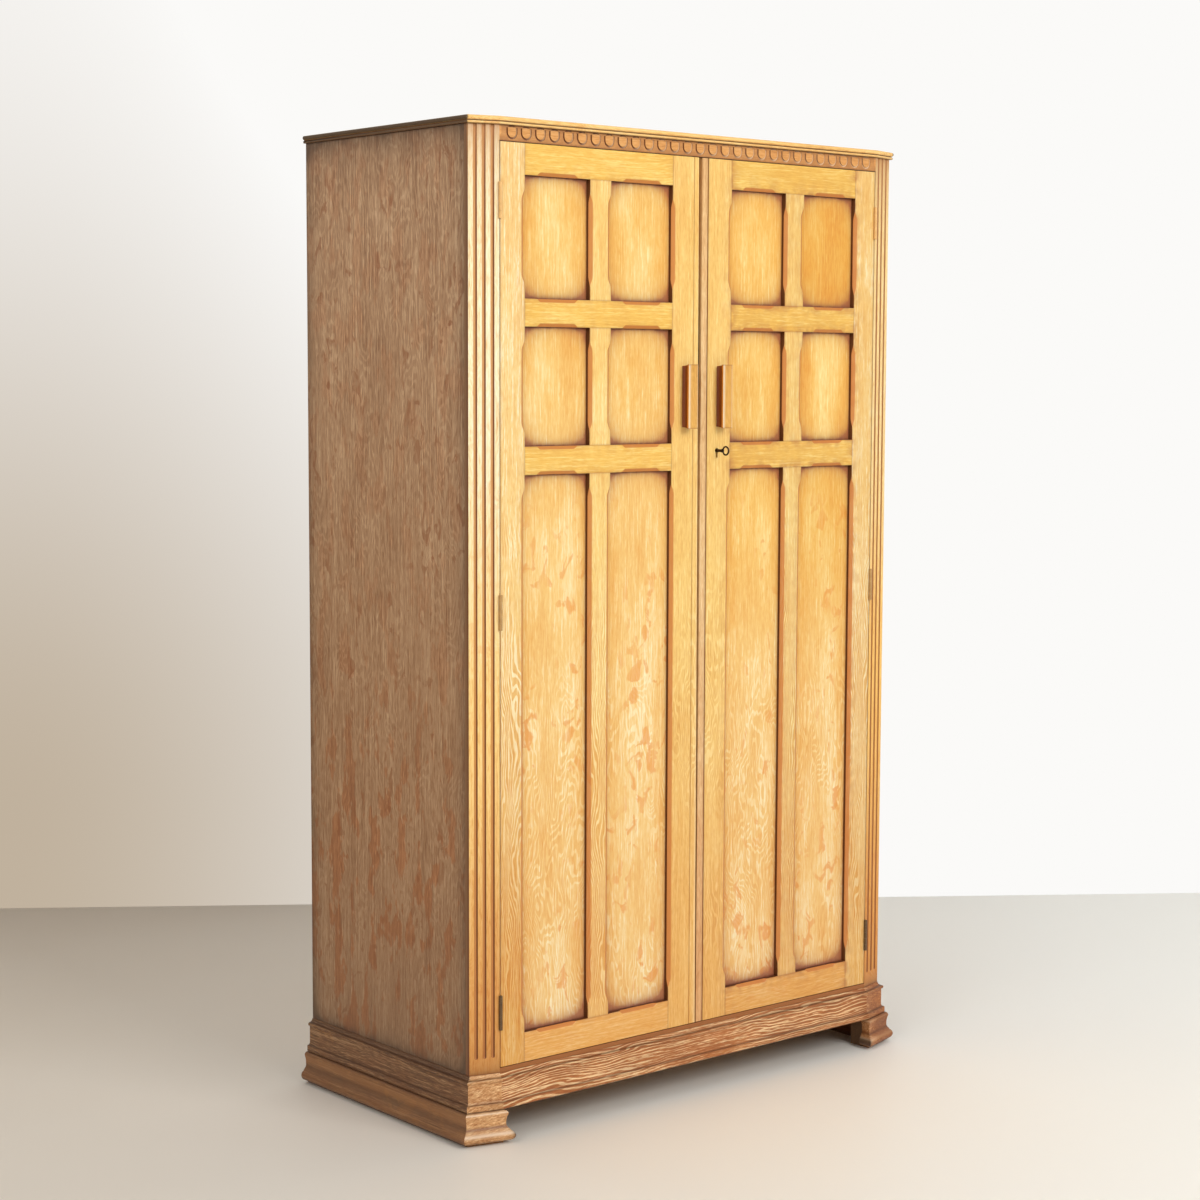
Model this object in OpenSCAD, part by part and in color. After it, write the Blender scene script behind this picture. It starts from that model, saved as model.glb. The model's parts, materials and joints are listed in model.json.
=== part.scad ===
// Two-door oak wardrobe with canted, fluted corners and a moulded plinth on bracket feet.
// Millimetres, +Z up, floor at z = 0, fronts of the doors towards -Y, X from side to side.
// Measures along Y are first taken from the plane of the door fronts, and centred() then
// moves each piece so that the origin lies under the middle of the whole wardrobe.

/* [Carcass] */
// Height from the floor to the top board's upper face
total_h = 1800; // [1650:5:1950]
// Width over the two side panels
carcass_w = 1045; // [940:5:1200]
// Depth from the door fronts to the back
carcass_d = 517; // [440:1:600]
// Width of a canted corner, seen from the front
cant_w = 55.5; // [50:0.5:64]
// Depth by which a canted corner falls back
cant_d = 16; // [12:0.5:20]
// Thickness of the side panels
side_t = 16; // [14:0.5:20]
// Depth of the pilaster post
post_d = 45; // [40:1:55]
// Edge of the post that shows beside the side panel
post_edge = 11; // [8:0.5:14]
// Thickness of the plywood back
back_t = 6; // [4:0.5:9]
// Side of the square rear posts
rear_post = 22; // [18:1:28]
// Thickness of the bottom board
board_t = 18; // [15:0.5:22]
// Thickness of the frieze
frieze_t = 22; // [18:1:26]
// Height of the frieze
frieze_h = 27; // [26:0.5:34]
// Height of the rails that carry the top board
top_rail_t = 18; // [14:1:22]
// Depth of the rails that carry the top board
top_rail_d = 40; // [30:1:60]

/* [Top board] */
// Thickness of the top board
top_t = 14; // [13:0.5:18]
// Reach of the rounded upper band past the carcass
top_reach = 7; // [6:0.5:12]
// Reach of the lower band past the carcass
band_reach = 5.5; // [4:0.5:6]
// Height of the rounded upper band
nose_h = 8; // [6:0.5:9]
// Height of the groove under the rounded band
groove_h = 1.8; // [1:0.1:2.5]
// Depth of that groove, measured back from the lower band
groove_in = 1.8; // [1:0.1:2.5]

/* [Fluting and carving] */
// Radius of the flute cutter
flute_r = 3.9; // [3.5:0.1:5]
// Depth of a flute
flute_depth = 2.6; // [1.5:0.1:3]
// Distance between flutes
flute_pitch = 16; // [13:0.5:17]
// Height at which the flutes stop above the foot of the pilaster
flute_stop = 32; // [15:1:60]
// Distance between the carved tongues
tongue_pitch = 31.4; // [29:0.1:36]
// Width of a tongue
tongue_w = 18; // [14:0.5:20]
// Height of a tongue
tongue_h = 16.5; // [14:0.5:17]
// Plain height above a tongue
tongue_gap = 4; // [3:0.5:6]
// Width of the groove round a tongue
tongue_groove = 3.2; // [2.4:0.1:4]
// Depth of the groove round a tongue
tongue_depth = 2; // [1:0.1:3]

/* [Plinth] */
// Height of the whole plinth
plinth_h = 123; // [110:1:150]
// Height of the lower tier and the feet
foot_h = 60; // [58:1:70]
// Reach of the flat face of the upper tier
flat_reach = 7; // [5:0.5:9]
// Radius of the cove under the carcass
cove_r = 7; // [5:0.5:9]
// Radius of the bead under the cove
bead_r = 3.5; // [2.5:0.1:4.5]
// Reach of the plain band at the foot of the upper tier
band_out = 13; // [11:0.5:15]
// Height of that plain band
band_h = 12; // [9:0.5:15]
// Reach of the lower tier's rounded top edge
foot_reach = 19.5; // [18:0.5:24]
// Radius of that top edge
foot_round = 6; // [4:0.5:8]
// Reach of the narrowest part of the lower tier
waist_reach = 16.5; // [14:0.5:18]
// Radius of the torus at the foot
torus_r = 10; // [9:0.5:11.5]
// Reach of the torus
torus_reach = 27.5; // [26:0.5:32]
// Height of the rebate between the torus and the floor
heel_h = 5; // [3:0.5:6]
// Thickness of the foot's front piece, at its top edge
foot_t = 23; // [18:1:28]
// Distance of a foot's inner end past the pilaster's inner edge
foot_past = 4; // [0:0.5:20]

/* [Doors] */
// Thickness of the door frames
door_t = 22; // [20:0.5:26]
// Gap between a door and its pilaster
door_gap = 1; // [0.8:0.1:2]
// Gap above a door
head_gap = 1.2; // [1:0.1:3]
// Gap under a door
foot_gap = 1.5; // [1:0.1:3]
// Height of the bottom board's lip above the plinth
lip_h = 8.5; // [6:0.5:14]
// Place of the meeting line, to the right of the middle
meeting_x = 3; // [0:0.5:6]
// Gap between the doors where they meet
meeting_gap = 3; // [2:0.1:4]
// Height above the keyhole from which the meeting edges are planed away
taper_up = 31; // [21:1:180]
// Amount planed off the left door at the top
taper_left = 4.6; // [0:0.1:6]
// Amount planed off the right door at the top
taper_right = 1.6; // [0:0.1:4]
// Width of the hinge stiles
stile_w = 54.6; // [48:0.2:64]
// Width of the left door's meeting stile
left_meeting_w = 68; // [62:0.5:80]
// Width of the right door's meeting stile, without its bead
right_meeting_w = 59.5; // [54:0.5:70]
// Width of the meeting bead
bead_w = 16.5; // [12:0.5:20]
// Width of the muntins
muntin_w = 48.5; // [40:0.5:56]
// Height of the top rails
top_rail_h = 54; // [46:0.5:64]
// Height of the upper rails
upper_rail_h = 48.5; // [42:0.5:56]
// Height of the lock rails
lock_rail_h = 50; // [44:0.5:58]
// Height of the bottom rails
bottom_rail_h = 53.5; // [46:0.5:64]
// Height of the first row of panels
row_one_h = 212.5; // [180:0.5:240]
// Height of the second row of panels
row_two_h = 209; // [180:0.5:240]
// Thickness of the panels
panel_t = 6; // [4:0.5:7]
// Depth of the panels behind the face of the frame
panel_in = 10.5; // [9:0.5:11]
// Depth of the panel groove
groove_d = 8; // [6:0.5:10]
// Length of the rail tenons
tenon_l = 30; // [20:1:36]

/* [Stopped chamfers] */
// Width of the chamfers on stiles and muntins
chamfer_w = 8; // [4:0.5:9]
// Width of the chamfers on rails
rail_chamfer_w = 7; // [4:0.5:8]
// Depth of the chamfers
chamfer_d = 5.5; // [3:0.5:6]
// Plain length at each end of an upright chamfer
chamfer_stop = 18; // [16:1:50]
// Plain length at each end of a rail chamfer
rail_chamfer_stop = 24; // [20:1:40]
// Length of the curved run-out of an upright chamfer
chamfer_run = 26; // [12:1:30]
// Length of the curved run-out of a rail chamfer
rail_chamfer_run = 13; // [8:1:18]

/* [Handles] */
// Width of a handle's front
handle_w = 23; // [18:0.5:28]
// Width of a handle where it meets the door
handle_neck_w = 18; // [15:0.5:20]
// Height of a handle
handle_h = 118; // [90:1:150]
// Reach of a handle from the door
handle_out = 23; // [16:0.5:24]
// Thickness of the handle's front bar at its sides
handle_bar = 7; // [6:0.5:8]
// Radius of the handle's front edges
handle_round = 3.5; // [2:0.1:4]
// Slope of the handle's ends
handle_slope = 3; // [1:0.5:5]
// Height of the middle of the handles above the keyhole
handle_up = 101; // [80:1:180]
// Distance of a handle's middle from the edge of its stile
handle_in = 33.5; // [28:0.5:36]

/* [Hinges] */
// Length of a butt hinge
hinge_l = 62; // [50:1:80]
// Width of a hinge leaf, from the pin
leaf_w = 22; // [18:0.5:24]
// Thickness of a hinge leaf
leaf_t = 1.5; // [1.2:0.1:2]
// Radius of the knuckles
knuckle_r = 3.2; // [2.8:0.1:4]
// Distance of the pin in front of the door's face
knuckle_out = 2.4; // [1.5:0.1:3]
// Radius of the hinge pins
pin_r = 1.25; // [1:0.05:1.6]
// Distance of the top hinges below the wardrobe's top
hinge_top_drop = 142; // [110:1:200]
// Height of the bottom hinges
hinge_low_z = 232; // [200:1:260]

/* [Lock and key] */
// Distance of the keyhole from the meeting edge
lock_in = 42.8; // [40:0.1:44]
// Distance of the keyhole below the lock rail's upper edge
lock_drop = 14.8; // [10:0.1:20]
// Travel of the bolt for a full turn of the key
bolt_throw = 9; // [6:0.5:9]
// Radius of the key's shank
shank_r = 2.75; // [2.2:0.05:3]
// Reach of the key's bit from the middle of the shank
bit_r = 11.2; // [9:0.1:11.5]
// Thickness of the key's bit
bit_t = 2.2; // [1.6:0.1:2.6]
// Outer radius of the key's bow
bow_r = 9.2; // [7:0.1:11]
// Radius of the rod that the bow is bent from
bow_rod_r = 1.6; // [1.2:0.1:2]
// Distance of the bow's middle from the door's face
bow_out = 24.4; // [18:0.1:34]

/* [Slip bolts] */
// Radius of the slip bolts
slip_r = 3.5; // [3:0.1:4]
// Travel of the slip bolts
slip_travel = 12; // [8:0.5:12]
// Length of a slip bolt's plate
slip_plate_h = 70; // [60:1:90]
// Distance of the slip bolts from the left door's meeting edge
slip_in = 25; // [18:0.5:30]

/* [Interior] */
// Distance of the hat shelf's underside below the wardrobe's top
shelf_drop = 255; // [220:5:320]
// Thickness of the hat shelf
shelf_t = 16; // [14:1:22]
// Distance of the hanging rail below the hat shelf
rail_drop = 65; // [50:1:120]
// Radius of the hanging rail
rail_r = 12.5; // [10:0.5:16]
// Thickness of the door stops
stop_t = 11.5; // [11:0.5:16]

/* [Hidden] */
$fn = 48;
// Clearances: a sliding or turning fit, a glued or let-in joint, and a plain free gap
fit = 0.05;
joint_gap = 0.1;
free_gap = 0.5;
cut = 1;
// Screws
screw_r = 1.5;
screw_head_r = 3;
hinge_screw_l = 18;
back_screw_l = 22;
// Plan of the carcass
half_w = carcass_w / 2;
post_x = half_w - cant_w;
side_in = half_w - side_t;
cant_a = atan2(cant_d, cant_w);
cant_len = norm([cant_w, cant_d]);
top_z = total_h - top_t;
frieze_z = top_z - frieze_h;
far = 60;
wide = 2 * carcass_w;
// Plinth and bottom board
lip_z = plinth_h + lip_h;
board_z = lip_z - board_t;
tier_t = side_t;
foot_in = foot_reach - foot_t;
foot_end = post_x - foot_past + foot_reach;
torus_e = torus_reach - torus_r;
heel_in = 4;
step_r = band_out - 1 - flat_reach;
block_past = 4;
block_w = 40;
bearer_w = 18;
bearer_h = 18;
// Doors
door_z0 = lip_z + foot_gap;
door_z1 = frieze_z - head_gap;
door_h = door_z1 - door_z0;
door_x = post_x - door_gap;
row_one_top = door_z1 - top_rail_h;
row_one_low = row_one_top - row_one_h;
row_two_top = row_one_low - upper_rail_h;
row_two_low = row_two_top - row_two_h;
row_three_top = row_two_low - lock_rail_h;
row_three_low = door_z0 + bottom_rail_h;
ROWS = [[row_one_low, row_one_top], [row_two_low, row_two_top], [row_three_low, row_three_top]];
panel_out = groove_d - 1;
chamfer_steps = 8;
quirk = 1.2;
quirk_in = 15;
// Hinges
hinge_top_z = total_h - hinge_top_drop;
HINGES = [hinge_low_z, (hinge_low_z + hinge_top_z) / 2, hinge_top_z];
knuckles = 5;
knuckle_gap = 0.3;
knuckle_l = (hinge_l - (knuckles - 1) * knuckle_gap) / knuckles;
leaf_y0 = knuckle_r + 0.35;
leaf_screws = [-0.36, 0, 0.36];
leaf_screw_y = 13;
// Lock, handles and the planed part of the meeting edges
lock_z = row_two_low - lock_drop;
taper_z = lock_z + taper_up;
handle_z = lock_z + handle_up;
handle_screw_z = 38;
handle_screw_l = door_t + handle_out - 8;
// Lock
case_in = 10.5;
case_wall = 1.5;
case_half_h = 30;
case_right = 20;
selvedge_t = 2;
selvedge_half_h = 36;
drum_r = 6;
drum_back_r = 2.5;
bolt_half_h = 6;
bolt_t = 6.4;
bolt_y = 12.8;
bolt_gap = 0.3;
strike_gap = 0.8;
keyhole_r = 4.6;
keyhole_w = 5;
keyhole_low = 13.2;
strike_half_h = 28;
strike_pocket = 8;
lock_x = meeting_x + meeting_gap / 2 + lock_in;
left_edge_x = meeting_x - meeting_gap / 2;
right_edge_x = meeting_x + meeting_gap / 2;
// Slip bolts
slip_plate_t = 2;
slip_plate_w = 24;
slip_guide_w = 13;
slip_guide_h = 9;
slip_y = door_t + slip_plate_t + 4.5;
slip_x = left_edge_x - slip_in;
slip_hole_r = slip_r + 0.7;
slip_rest_gap = 2;
keep_t = 1.5;
stop_h_top = 20;
stop_h_low = 10;
stop_y = door_t + free_gap;
stop_z = top_z - top_rail_t - stop_h_top;
// Interior
shelf_z = total_h - shelf_drop;
rail_z = shelf_z - rail_drop;
cleat = 22;
socket_r = 21;
socket_t = 14;
socket_floor = 4;
shelf_front = 46;
rail_y = carcass_d / 2 + 3;
back_y = carcass_d - 1 - back_t;
back_rebate = 6;
// Depth of the whole wardrobe, from the key's bow to the back
front_reach = bow_out + bow_r;
mid_y = (carcass_d - front_reach) / 2;

LEFT = -1;
RIGHT = 1;

// Plan of the canted corner, pushed out by e from the carcass
function corner_out(e) = [half_w + e, cant_d - e * (1 - sin(cant_a)) / cos(cant_a)];
function bend_out(e) = [post_x + e * tan(cant_a / 2), -e];
function cant_y(x, e) = (x - post_x) * tan(cant_a) - e / cos(cant_a);
function arc(c, r, a0, a1, n) = [for (i = [0:n]) c + r * [cos(a0 + (a1 - a0) * i / n), sin(a0 + (a1 - a0) * i / n)]];

// Sizes of a door, by side
function door_w(s) = door_x + s * -meeting_x - meeting_gap / 2;
function meeting_w(s) = s == LEFT ? left_meeting_w : right_meeting_w + bead_w;
function bay_w(s) = (door_w(s) - stile_w - muntin_w - meeting_w(s)) / 2;
function rail_len(s) = 2 * bay_w(s) + muntin_w;
function bay_u(s, k) = stile_w + k * (bay_w(s) + muntin_w);
function handle_u(s) = door_w(s) - handle_in - (s == RIGHT ? bead_w : 0);

module centred() {
    translate([0, -mid_y, 0]) children();
}

module on_side(s) {
    centred() mirror([s == LEFT ? 1 : 0, 0, 0]) children();
}

// Door frame of reference: u runs from the hinge edge towards the meeting edge
module on_door(s) {
    centred() mirror([s == RIGHT ? 1 : 0, 0, 0]) translate([-door_x, 0, 0]) children();
}

// Lock frame of reference: the key's axis at the face of the right door
module at_lock() {
    centred() translate([lock_x, 0, lock_z]) children();
}

module box(low, high) {
    translate(low) cube(high - low);
}

// A moulding: outline in reach and height, run along -Y with its face towards +X
module run(outline, length) {
    rotate([90, 0, 0]) linear_extrude(height = length) polygon(outline);
}

module side_run(outline) {
    translate([half_w, carcass_d, 0]) run(outline, carcass_d + 2 * far);
}

module cant_run(outline) {
    translate([half_w, cant_d, 0]) rotate([0, 0, cant_a - 90])
        translate([0, far, 0]) run(outline, cant_len + 4 * far);
}

module front_run(outline) {
    translate([half_w + far, 0, 0]) rotate([0, 0, -90]) run(outline, carcass_w + 2 * far);
}

module upright(points, z0, z1) {
    translate([0, 0, z0]) linear_extrude(height = z1 - z0) polygon(points);
}

function upper_tier(back) = concat(
    [[-back, foot_h], [-back, plinth_h], [flat_reach - cove_r + 0.8, plinth_h]],
    arc([flat_reach + 0.8, plinth_h], cove_r, 180, 270, 6),
    arc([flat_reach, plinth_h - cove_r - bead_r], bead_r, 90, -90, 8),
    arc([band_out - 1, foot_h + band_h + step_r], step_r, 180, 270, 4),
    [[band_out, foot_h + band_h - 1], [band_out, foot_h + 1], [band_out - 1, foot_h]]);

function lower_tier(back) = concat(
    [[-back, 0], [-back, foot_h]],
    arc([foot_reach - foot_round, foot_h - foot_round], foot_round, 90, 0, 6),
    [[(foot_reach + waist_reach) / 2 - 0.5, foot_h - 13], [waist_reach + 0.2, foot_h - 19]],
    arc([waist_reach + 10, heel_h + 2 * torus_r + 10], 10, 180, 230, 5),
    arc([torus_e, heel_h + torus_r], torus_r, 60, -90, 10),
    [[torus_e - heel_in, heel_h], [torus_e - heel_in, 0]]);

function top_outline(back) = concat(
    [[-back, top_z], [band_reach - 1, top_z], [band_reach, top_z + 1],
     [band_reach, total_h - nose_h - groove_h], [band_reach - groove_in, total_h - nose_h - groove_h],
     [band_reach - groove_in, total_h - nose_h]],
    arc([top_reach - nose_h / 2, total_h - nose_h / 2], nose_h / 2, -90, 90, 8),
    [[-back, total_h]]);

module screw(length) {
    difference() {
        union() {
            translate([0, 0, -(screw_head_r - screw_r)])
                cylinder(r1 = screw_r, r2 = screw_head_r, h = screw_head_r - screw_r);
            translate([0, 0, -length]) cylinder(r = screw_r, h = length - 0.5);
        }
        box([-screw_head_r, -0.4, -0.7], [screw_head_r, 0.4, cut]);
    }
}

module screw_hole(length) {
    translate([0, 0, -(screw_head_r - screw_r) - fit])
        cylinder(r1 = screw_r + fit, r2 = screw_head_r + 2 * fit, h = screw_head_r - screw_r + 2 * fit);
    translate([0, 0, -length - free_gap]) cylinder(r = screw_r + fit, h = length + free_gap);
}

// Butt hinges. The pin's axis is the origin, and the leaf lies on the +X side of the gap
module knuckle_row(first) {
    for (k = [first:2:knuckles - 1])
        translate([0, 0, -hinge_l / 2 + k * (knuckle_l + knuckle_gap)])
            difference() {
                union() {
                    cylinder(r = knuckle_r, h = knuckle_l);
                    box([door_gap / 2, 0, 0], [door_gap / 2 + leaf_t, leaf_y0 + cut, knuckle_l]);
                }
                translate([0, 0, -cut]) cylinder(r = pin_r + fit, h = knuckle_l + 2 * cut);
            }
}

module leaf(first) {
    knuckle_row(first);
    difference() {
        box([door_gap / 2, leaf_y0, -hinge_l / 2], [door_gap / 2 + leaf_t, leaf_w, hinge_l / 2]);
        at_leaf_screws() screw_hole(hinge_screw_l);
    }
}

// Screw places on a leaf, each pointing out of the wood
module at_leaf_screws() {
    for (f = leaf_screws)
        translate([door_gap / 2, leaf_screw_y, f * hinge_l]) rotate([0, -90, 0]) children();
}

module leaf_recess() {
    box([-leaf_t, 0, -hinge_l / 2 - joint_gap],
        [door_gap / 2 + leaf_t + joint_gap / 2, leaf_w + joint_gap, hinge_l / 2 + joint_gap]);
    translate([0, 0, -hinge_l / 2 - joint_gap])
        cylinder(r = knuckle_r + bolt_gap, h = hinge_l + 2 * joint_gap);
    at_leaf_screws() screw_hole(hinge_screw_l);
}

// The hinges of one side, seen from the post: the leaf side is the carcass
module at_post_hinges() {
    for (z = HINGES) translate([post_x - door_gap / 2, -knuckle_out, z]) children();
}

// The same hinges in the door's frame of reference
module at_door_hinges() {
    for (z = HINGES) translate([-door_gap / 2, -knuckle_out, z]) children();
}

// Carcass
module side_panel(s) {
    on_side(s) difference() {
        box([side_in, cant_d + post_edge, plinth_h], [half_w, carcass_d, top_z]);
        box([side_in - cut, back_y - joint_gap, plinth_h - cut],
            [side_in + back_rebate + joint_gap, carcass_d + cut, top_z + cut]);
    }
}

module pilaster(s) {
    mid = [post_x, 0] + [cant_w, cant_d] / 2;
    along = [cant_w, cant_d] / cant_len;
    out = [cant_d, -cant_w] / cant_len;
    on_side(s) difference() {
        upright([[post_x, 0], [half_w, cant_d], [half_w, cant_d + post_edge],
                 [side_in, cant_d + post_edge], [side_in, post_d], [post_x, post_d]], plinth_h, top_z);
        for (k = [-1:1])
            translate(concat(mid + k * flute_pitch * along + (flute_r - flute_depth) * out, plinth_h + flute_stop)) {
                cylinder(r = flute_r, h = top_z);
                sphere(r = flute_r);
            }
        at_post_hinges() leaf_recess();
    }
}

module left_side_panel() { color("peru") side_panel(LEFT); }
module right_side_panel() { color("peru") side_panel(RIGHT); }
module left_pilaster() { color("burlywood") pilaster(LEFT); }
module right_pilaster() { color("burlywood") pilaster(RIGHT); }

module top_board() {
    color("goldenrod") centred() intersection() {
        side_run(top_outline(wide));
        mirror([1, 0, 0]) side_run(top_outline(wide));
        front_run(top_outline(wide));
        cant_run_wide(top_outline(wide));
        mirror([1, 0, 0]) cant_run_wide(top_outline(wide));
    }
}

module cant_run_wide(outline) {
    translate([half_w, cant_d, 0]) rotate([0, 0, cant_a - 90])
        translate([0, wide, 0]) run(outline, 2 * wide);
}

module top_rails() {
    color("tan") centred() {
        box([-post_x + joint_gap, frieze_t, top_z - top_rail_t],
            [post_x - joint_gap, frieze_t + top_rail_d, top_z]);
        box([-side_in, back_y - rear_post - top_rail_d, top_z - top_rail_t],
            [side_in, back_y - rear_post, top_z]);
    }
}

module tongue_outline(w, h) {
    translate([0, w / 2]) circle(r = w / 2);
    translate([-w / 2, w / 2]) square([w, h - w / 2]);
}

module frieze() {
    count = floor((2 * post_x - tongue_pitch / 2) / tongue_pitch);
    outer_w = tongue_w + 2 * tongue_groove;
    low_z = top_z - tongue_gap - tongue_h - tongue_groove;
    color("sandybrown") centred() difference() {
        box([-post_x, 0, frieze_z], [post_x, frieze_t, top_z]);
        for (k = [0:count - 1])
            translate([(k - (count - 1) / 2) * tongue_pitch, tongue_depth, low_z]) rotate([90, 0, 0])
                linear_extrude(height = tongue_depth + cut) difference() {
                    tongue_outline(outer_w, tongue_h + tongue_groove);
                    translate([0, tongue_groove]) tongue_outline(tongue_w, tongue_h + cut);
                }
    }
}

module back_panel() {
    color("wheat") centred() difference() {
        box([-side_in - back_rebate, back_y, plinth_h], [side_in + back_rebate, back_y + back_t, top_z]);
        at_back_screws() screw_hole(back_screw_l);
    }
}

module at_back_screws() {
    for (s = [LEFT, RIGHT], k = [0:5])
        translate([s * (side_in - rear_post / 2), back_y + back_t, lip_z + 60 + k * (top_z - lip_z - 120) / 5])
            rotate([-90, 0, 0]) children();
}

module rear_posts() {
    color("tan") centred() difference() {
        for (s = [LEFT, RIGHT])
            mirror([s == LEFT ? 1 : 0, 0, 0])
                box([side_in - rear_post, back_y - rear_post, lip_z], [side_in, back_y, top_z]);
        at_back_screws() screw_hole(back_screw_l);
    }
}

module bottom_board() {
    color("tan") centred() difference() {
        union() {
            box([-side_in, tier_t + cut, board_z], [side_in, back_y, lip_z]);
            box([-post_x, 0, plinth_h], [post_x, tier_t + 2 * cut, lip_z]);
        }
        for (s = [LEFT, RIGHT])
            mirror([s == LEFT ? 1 : 0, 0, 0])
                box([post_x, -cut, board_z - cut], [half_w, post_d, lip_z + cut]);
        translate([slip_x, slip_y, lip_z - 3]) cylinder(r = slip_hole_r, h = 3 + cut);
    }
}

module door_stops() {
    color("tan") centred() difference() {
        union() {
            box([-door_x, stop_y, stop_z], [door_x, stop_y + stop_t, stop_z + stop_h_top]);
            box([-door_x, stop_y, lip_z], [door_x, stop_y + stop_t, lip_z + stop_h_low]);
        }
        translate([slip_x, slip_y, stop_z - cut]) cylinder(r = slip_hole_r, h = slip_travel + 4);
        translate([slip_x, slip_y, lip_z - cut]) cylinder(r = slip_hole_r, h = stop_h_low + 2 * cut);
        at_keeps() keep_blank(joint_gap);
    }
}

module at_keeps() {
    translate([slip_x, slip_y, stop_z]) children();
    translate([slip_x, slip_y, lip_z + stop_h_low]) mirror([0, 0, 1]) children();
}

module keep_blank(gap) {
    box([-slip_plate_w / 2 - gap, stop_y - slip_y - gap, -gap],
        [slip_plate_w / 2 + gap, stop_y - slip_y + stop_t + gap, keep_t]);
}

module bolt_keeps() {
    color("gold") centred() at_keeps() difference() {
        keep_blank(0);
        translate([0, 0, -cut]) cylinder(r = slip_hole_r, h = keep_t + 2 * cut);
    }
}

module hat_shelf() {
    color("wheat") centred()
        box([-side_in, shelf_front, shelf_z], [side_in, back_y - rear_post, shelf_z + shelf_t]);
}

module shelf_cleats() {
    color("tan") centred() for (s = [LEFT, RIGHT])
        mirror([s == LEFT ? 1 : 0, 0, 0])
            box([side_in - cleat, shelf_front + 14, shelf_z - cleat], [side_in, back_y - rear_post, shelf_z]);
}

module hanging_rail() {
    color("peru") centred() translate([-(side_in - socket_floor), rail_y, rail_z]) rotate([0, 90, 0])
        cylinder(r = rail_r, h = 2 * (side_in - socket_floor));
}

module rail_sockets() {
    color("gold") centred() for (s = [LEFT, RIGHT])
        mirror([s == LEFT ? 1 : 0, 0, 0]) translate([side_in, rail_y, rail_z]) rotate([0, -90, 0])
            difference() {
                cylinder(r = socket_r, h = socket_t);
                translate([0, 0, socket_floor]) cylinder(r = rail_r + joint_gap, h = socket_t);
            }
}

// Plinth
module apron() {
    color("chocolate") centred() intersection() {
        front_run(upper_tier(tier_t));
        upright([bend_out(-tier_t), bend_out(far), [-bend_out(far)[0], bend_out(far)[1]],
                 [-bend_out(-tier_t)[0], bend_out(-tier_t)[1]]], 0, plinth_h);
    }
}

module plinth_corner(s) {
    on_side(s) intersection() {
        cant_run(upper_tier(tier_t));
        upright([bend_out(-tier_t), bend_out(far), corner_out(far), corner_out(-tier_t)], 0, plinth_h);
    }
}

module side_mitre(z1) {
    upright([corner_out(-tier_t), corner_out(far), [half_w + far, carcass_d], [side_in, carcass_d]], 0, z1);
}

module plinth_side(s) {
    on_side(s) intersection() {
        side_run(upper_tier(tier_t));
        side_mitre(plinth_h);
    }
}

module base_side(s) {
    on_side(s) intersection() {
        side_run(lower_tier(tier_t));
        side_mitre(foot_h);
    }
}

module foot(s) {
    on_side(s) intersection() {
        cant_run(lower_tier(-foot_in));
        translate([foot_end, -far, 0]) rotate([0, 0, 180]) run(lower_tier(2 * far), 3 * far);
        upright([corner_out(foot_in), corner_out(far), [post_x - far, -2 * far], [post_x - far, far]], 0, foot_h);
    }
}

module left_plinth_corner() { color("chocolate") plinth_corner(LEFT); }
module right_plinth_corner() { color("chocolate") plinth_corner(RIGHT); }
module left_plinth_side() { color("sienna") plinth_side(LEFT); }
module right_plinth_side() { color("sienna") plinth_side(RIGHT); }
module left_base_side() { color("sienna") base_side(LEFT); }
module right_base_side() { color("sienna") base_side(RIGHT); }
module left_foot() { color("peru") foot(LEFT); }
module right_foot() { color("peru") foot(RIGHT); }

module corner_block(y1) {
    x0 = post_x;
    upright([[x0, cant_y(x0, foot_in)], [side_in, cant_y(side_in, foot_in)], [side_in, y1], [x0, y1]], 0, foot_h);
    upright([[x0, cant_y(x0, -tier_t)], [side_in, cant_y(side_in, -tier_t)], [side_in, y1], [x0, y1]],
        foot_h, board_z);
}

module plinth_framing() {
    bearer_z = board_z - bearer_h;
    rail_y0 = back_y - bearer_w;
    front_end = bend_out(-tier_t)[0] - joint_gap;
    block_y = cant_d + tier_t + block_past;
    color("tan") centred() {
        box([-side_in, rail_y0, foot_h], [side_in, back_y, board_z]);
        box([-front_end, tier_t, bearer_z], [front_end, tier_t + bearer_w, board_z]);
        for (s = [LEFT, RIGHT]) mirror([s == LEFT ? 1 : 0, 0, 0]) {
            corner_block(block_y);
            box([side_in - bearer_w, block_y + joint_gap, bearer_z], [side_in, rail_y0 - joint_gap, board_z]);
            box([side_in - block_w, rail_y0 - block_w, 0], [side_in, rail_y0 - joint_gap, bearer_z - joint_gap]);
        }
    }
}

// Hinges and screws on the carcass
module carcass_hinge_leaves() {
    color("darkgoldenrod") for (s = [LEFT, RIGHT]) on_side(s) at_post_hinges() leaf(0);
}

module hinge_pins() {
    color("goldenrod") for (s = [LEFT, RIGHT]) on_side(s) at_post_hinges()
        translate([0, 0, -hinge_l / 2]) cylinder(r = pin_r, h = hinge_l);
}

module carcass_screws() {
    color("gray") {
        for (s = [LEFT, RIGHT]) on_side(s) at_post_hinges() at_leaf_screws() screw(hinge_screw_l);
        centred() at_back_screws() screw(back_screw_l);
    }
}

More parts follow.
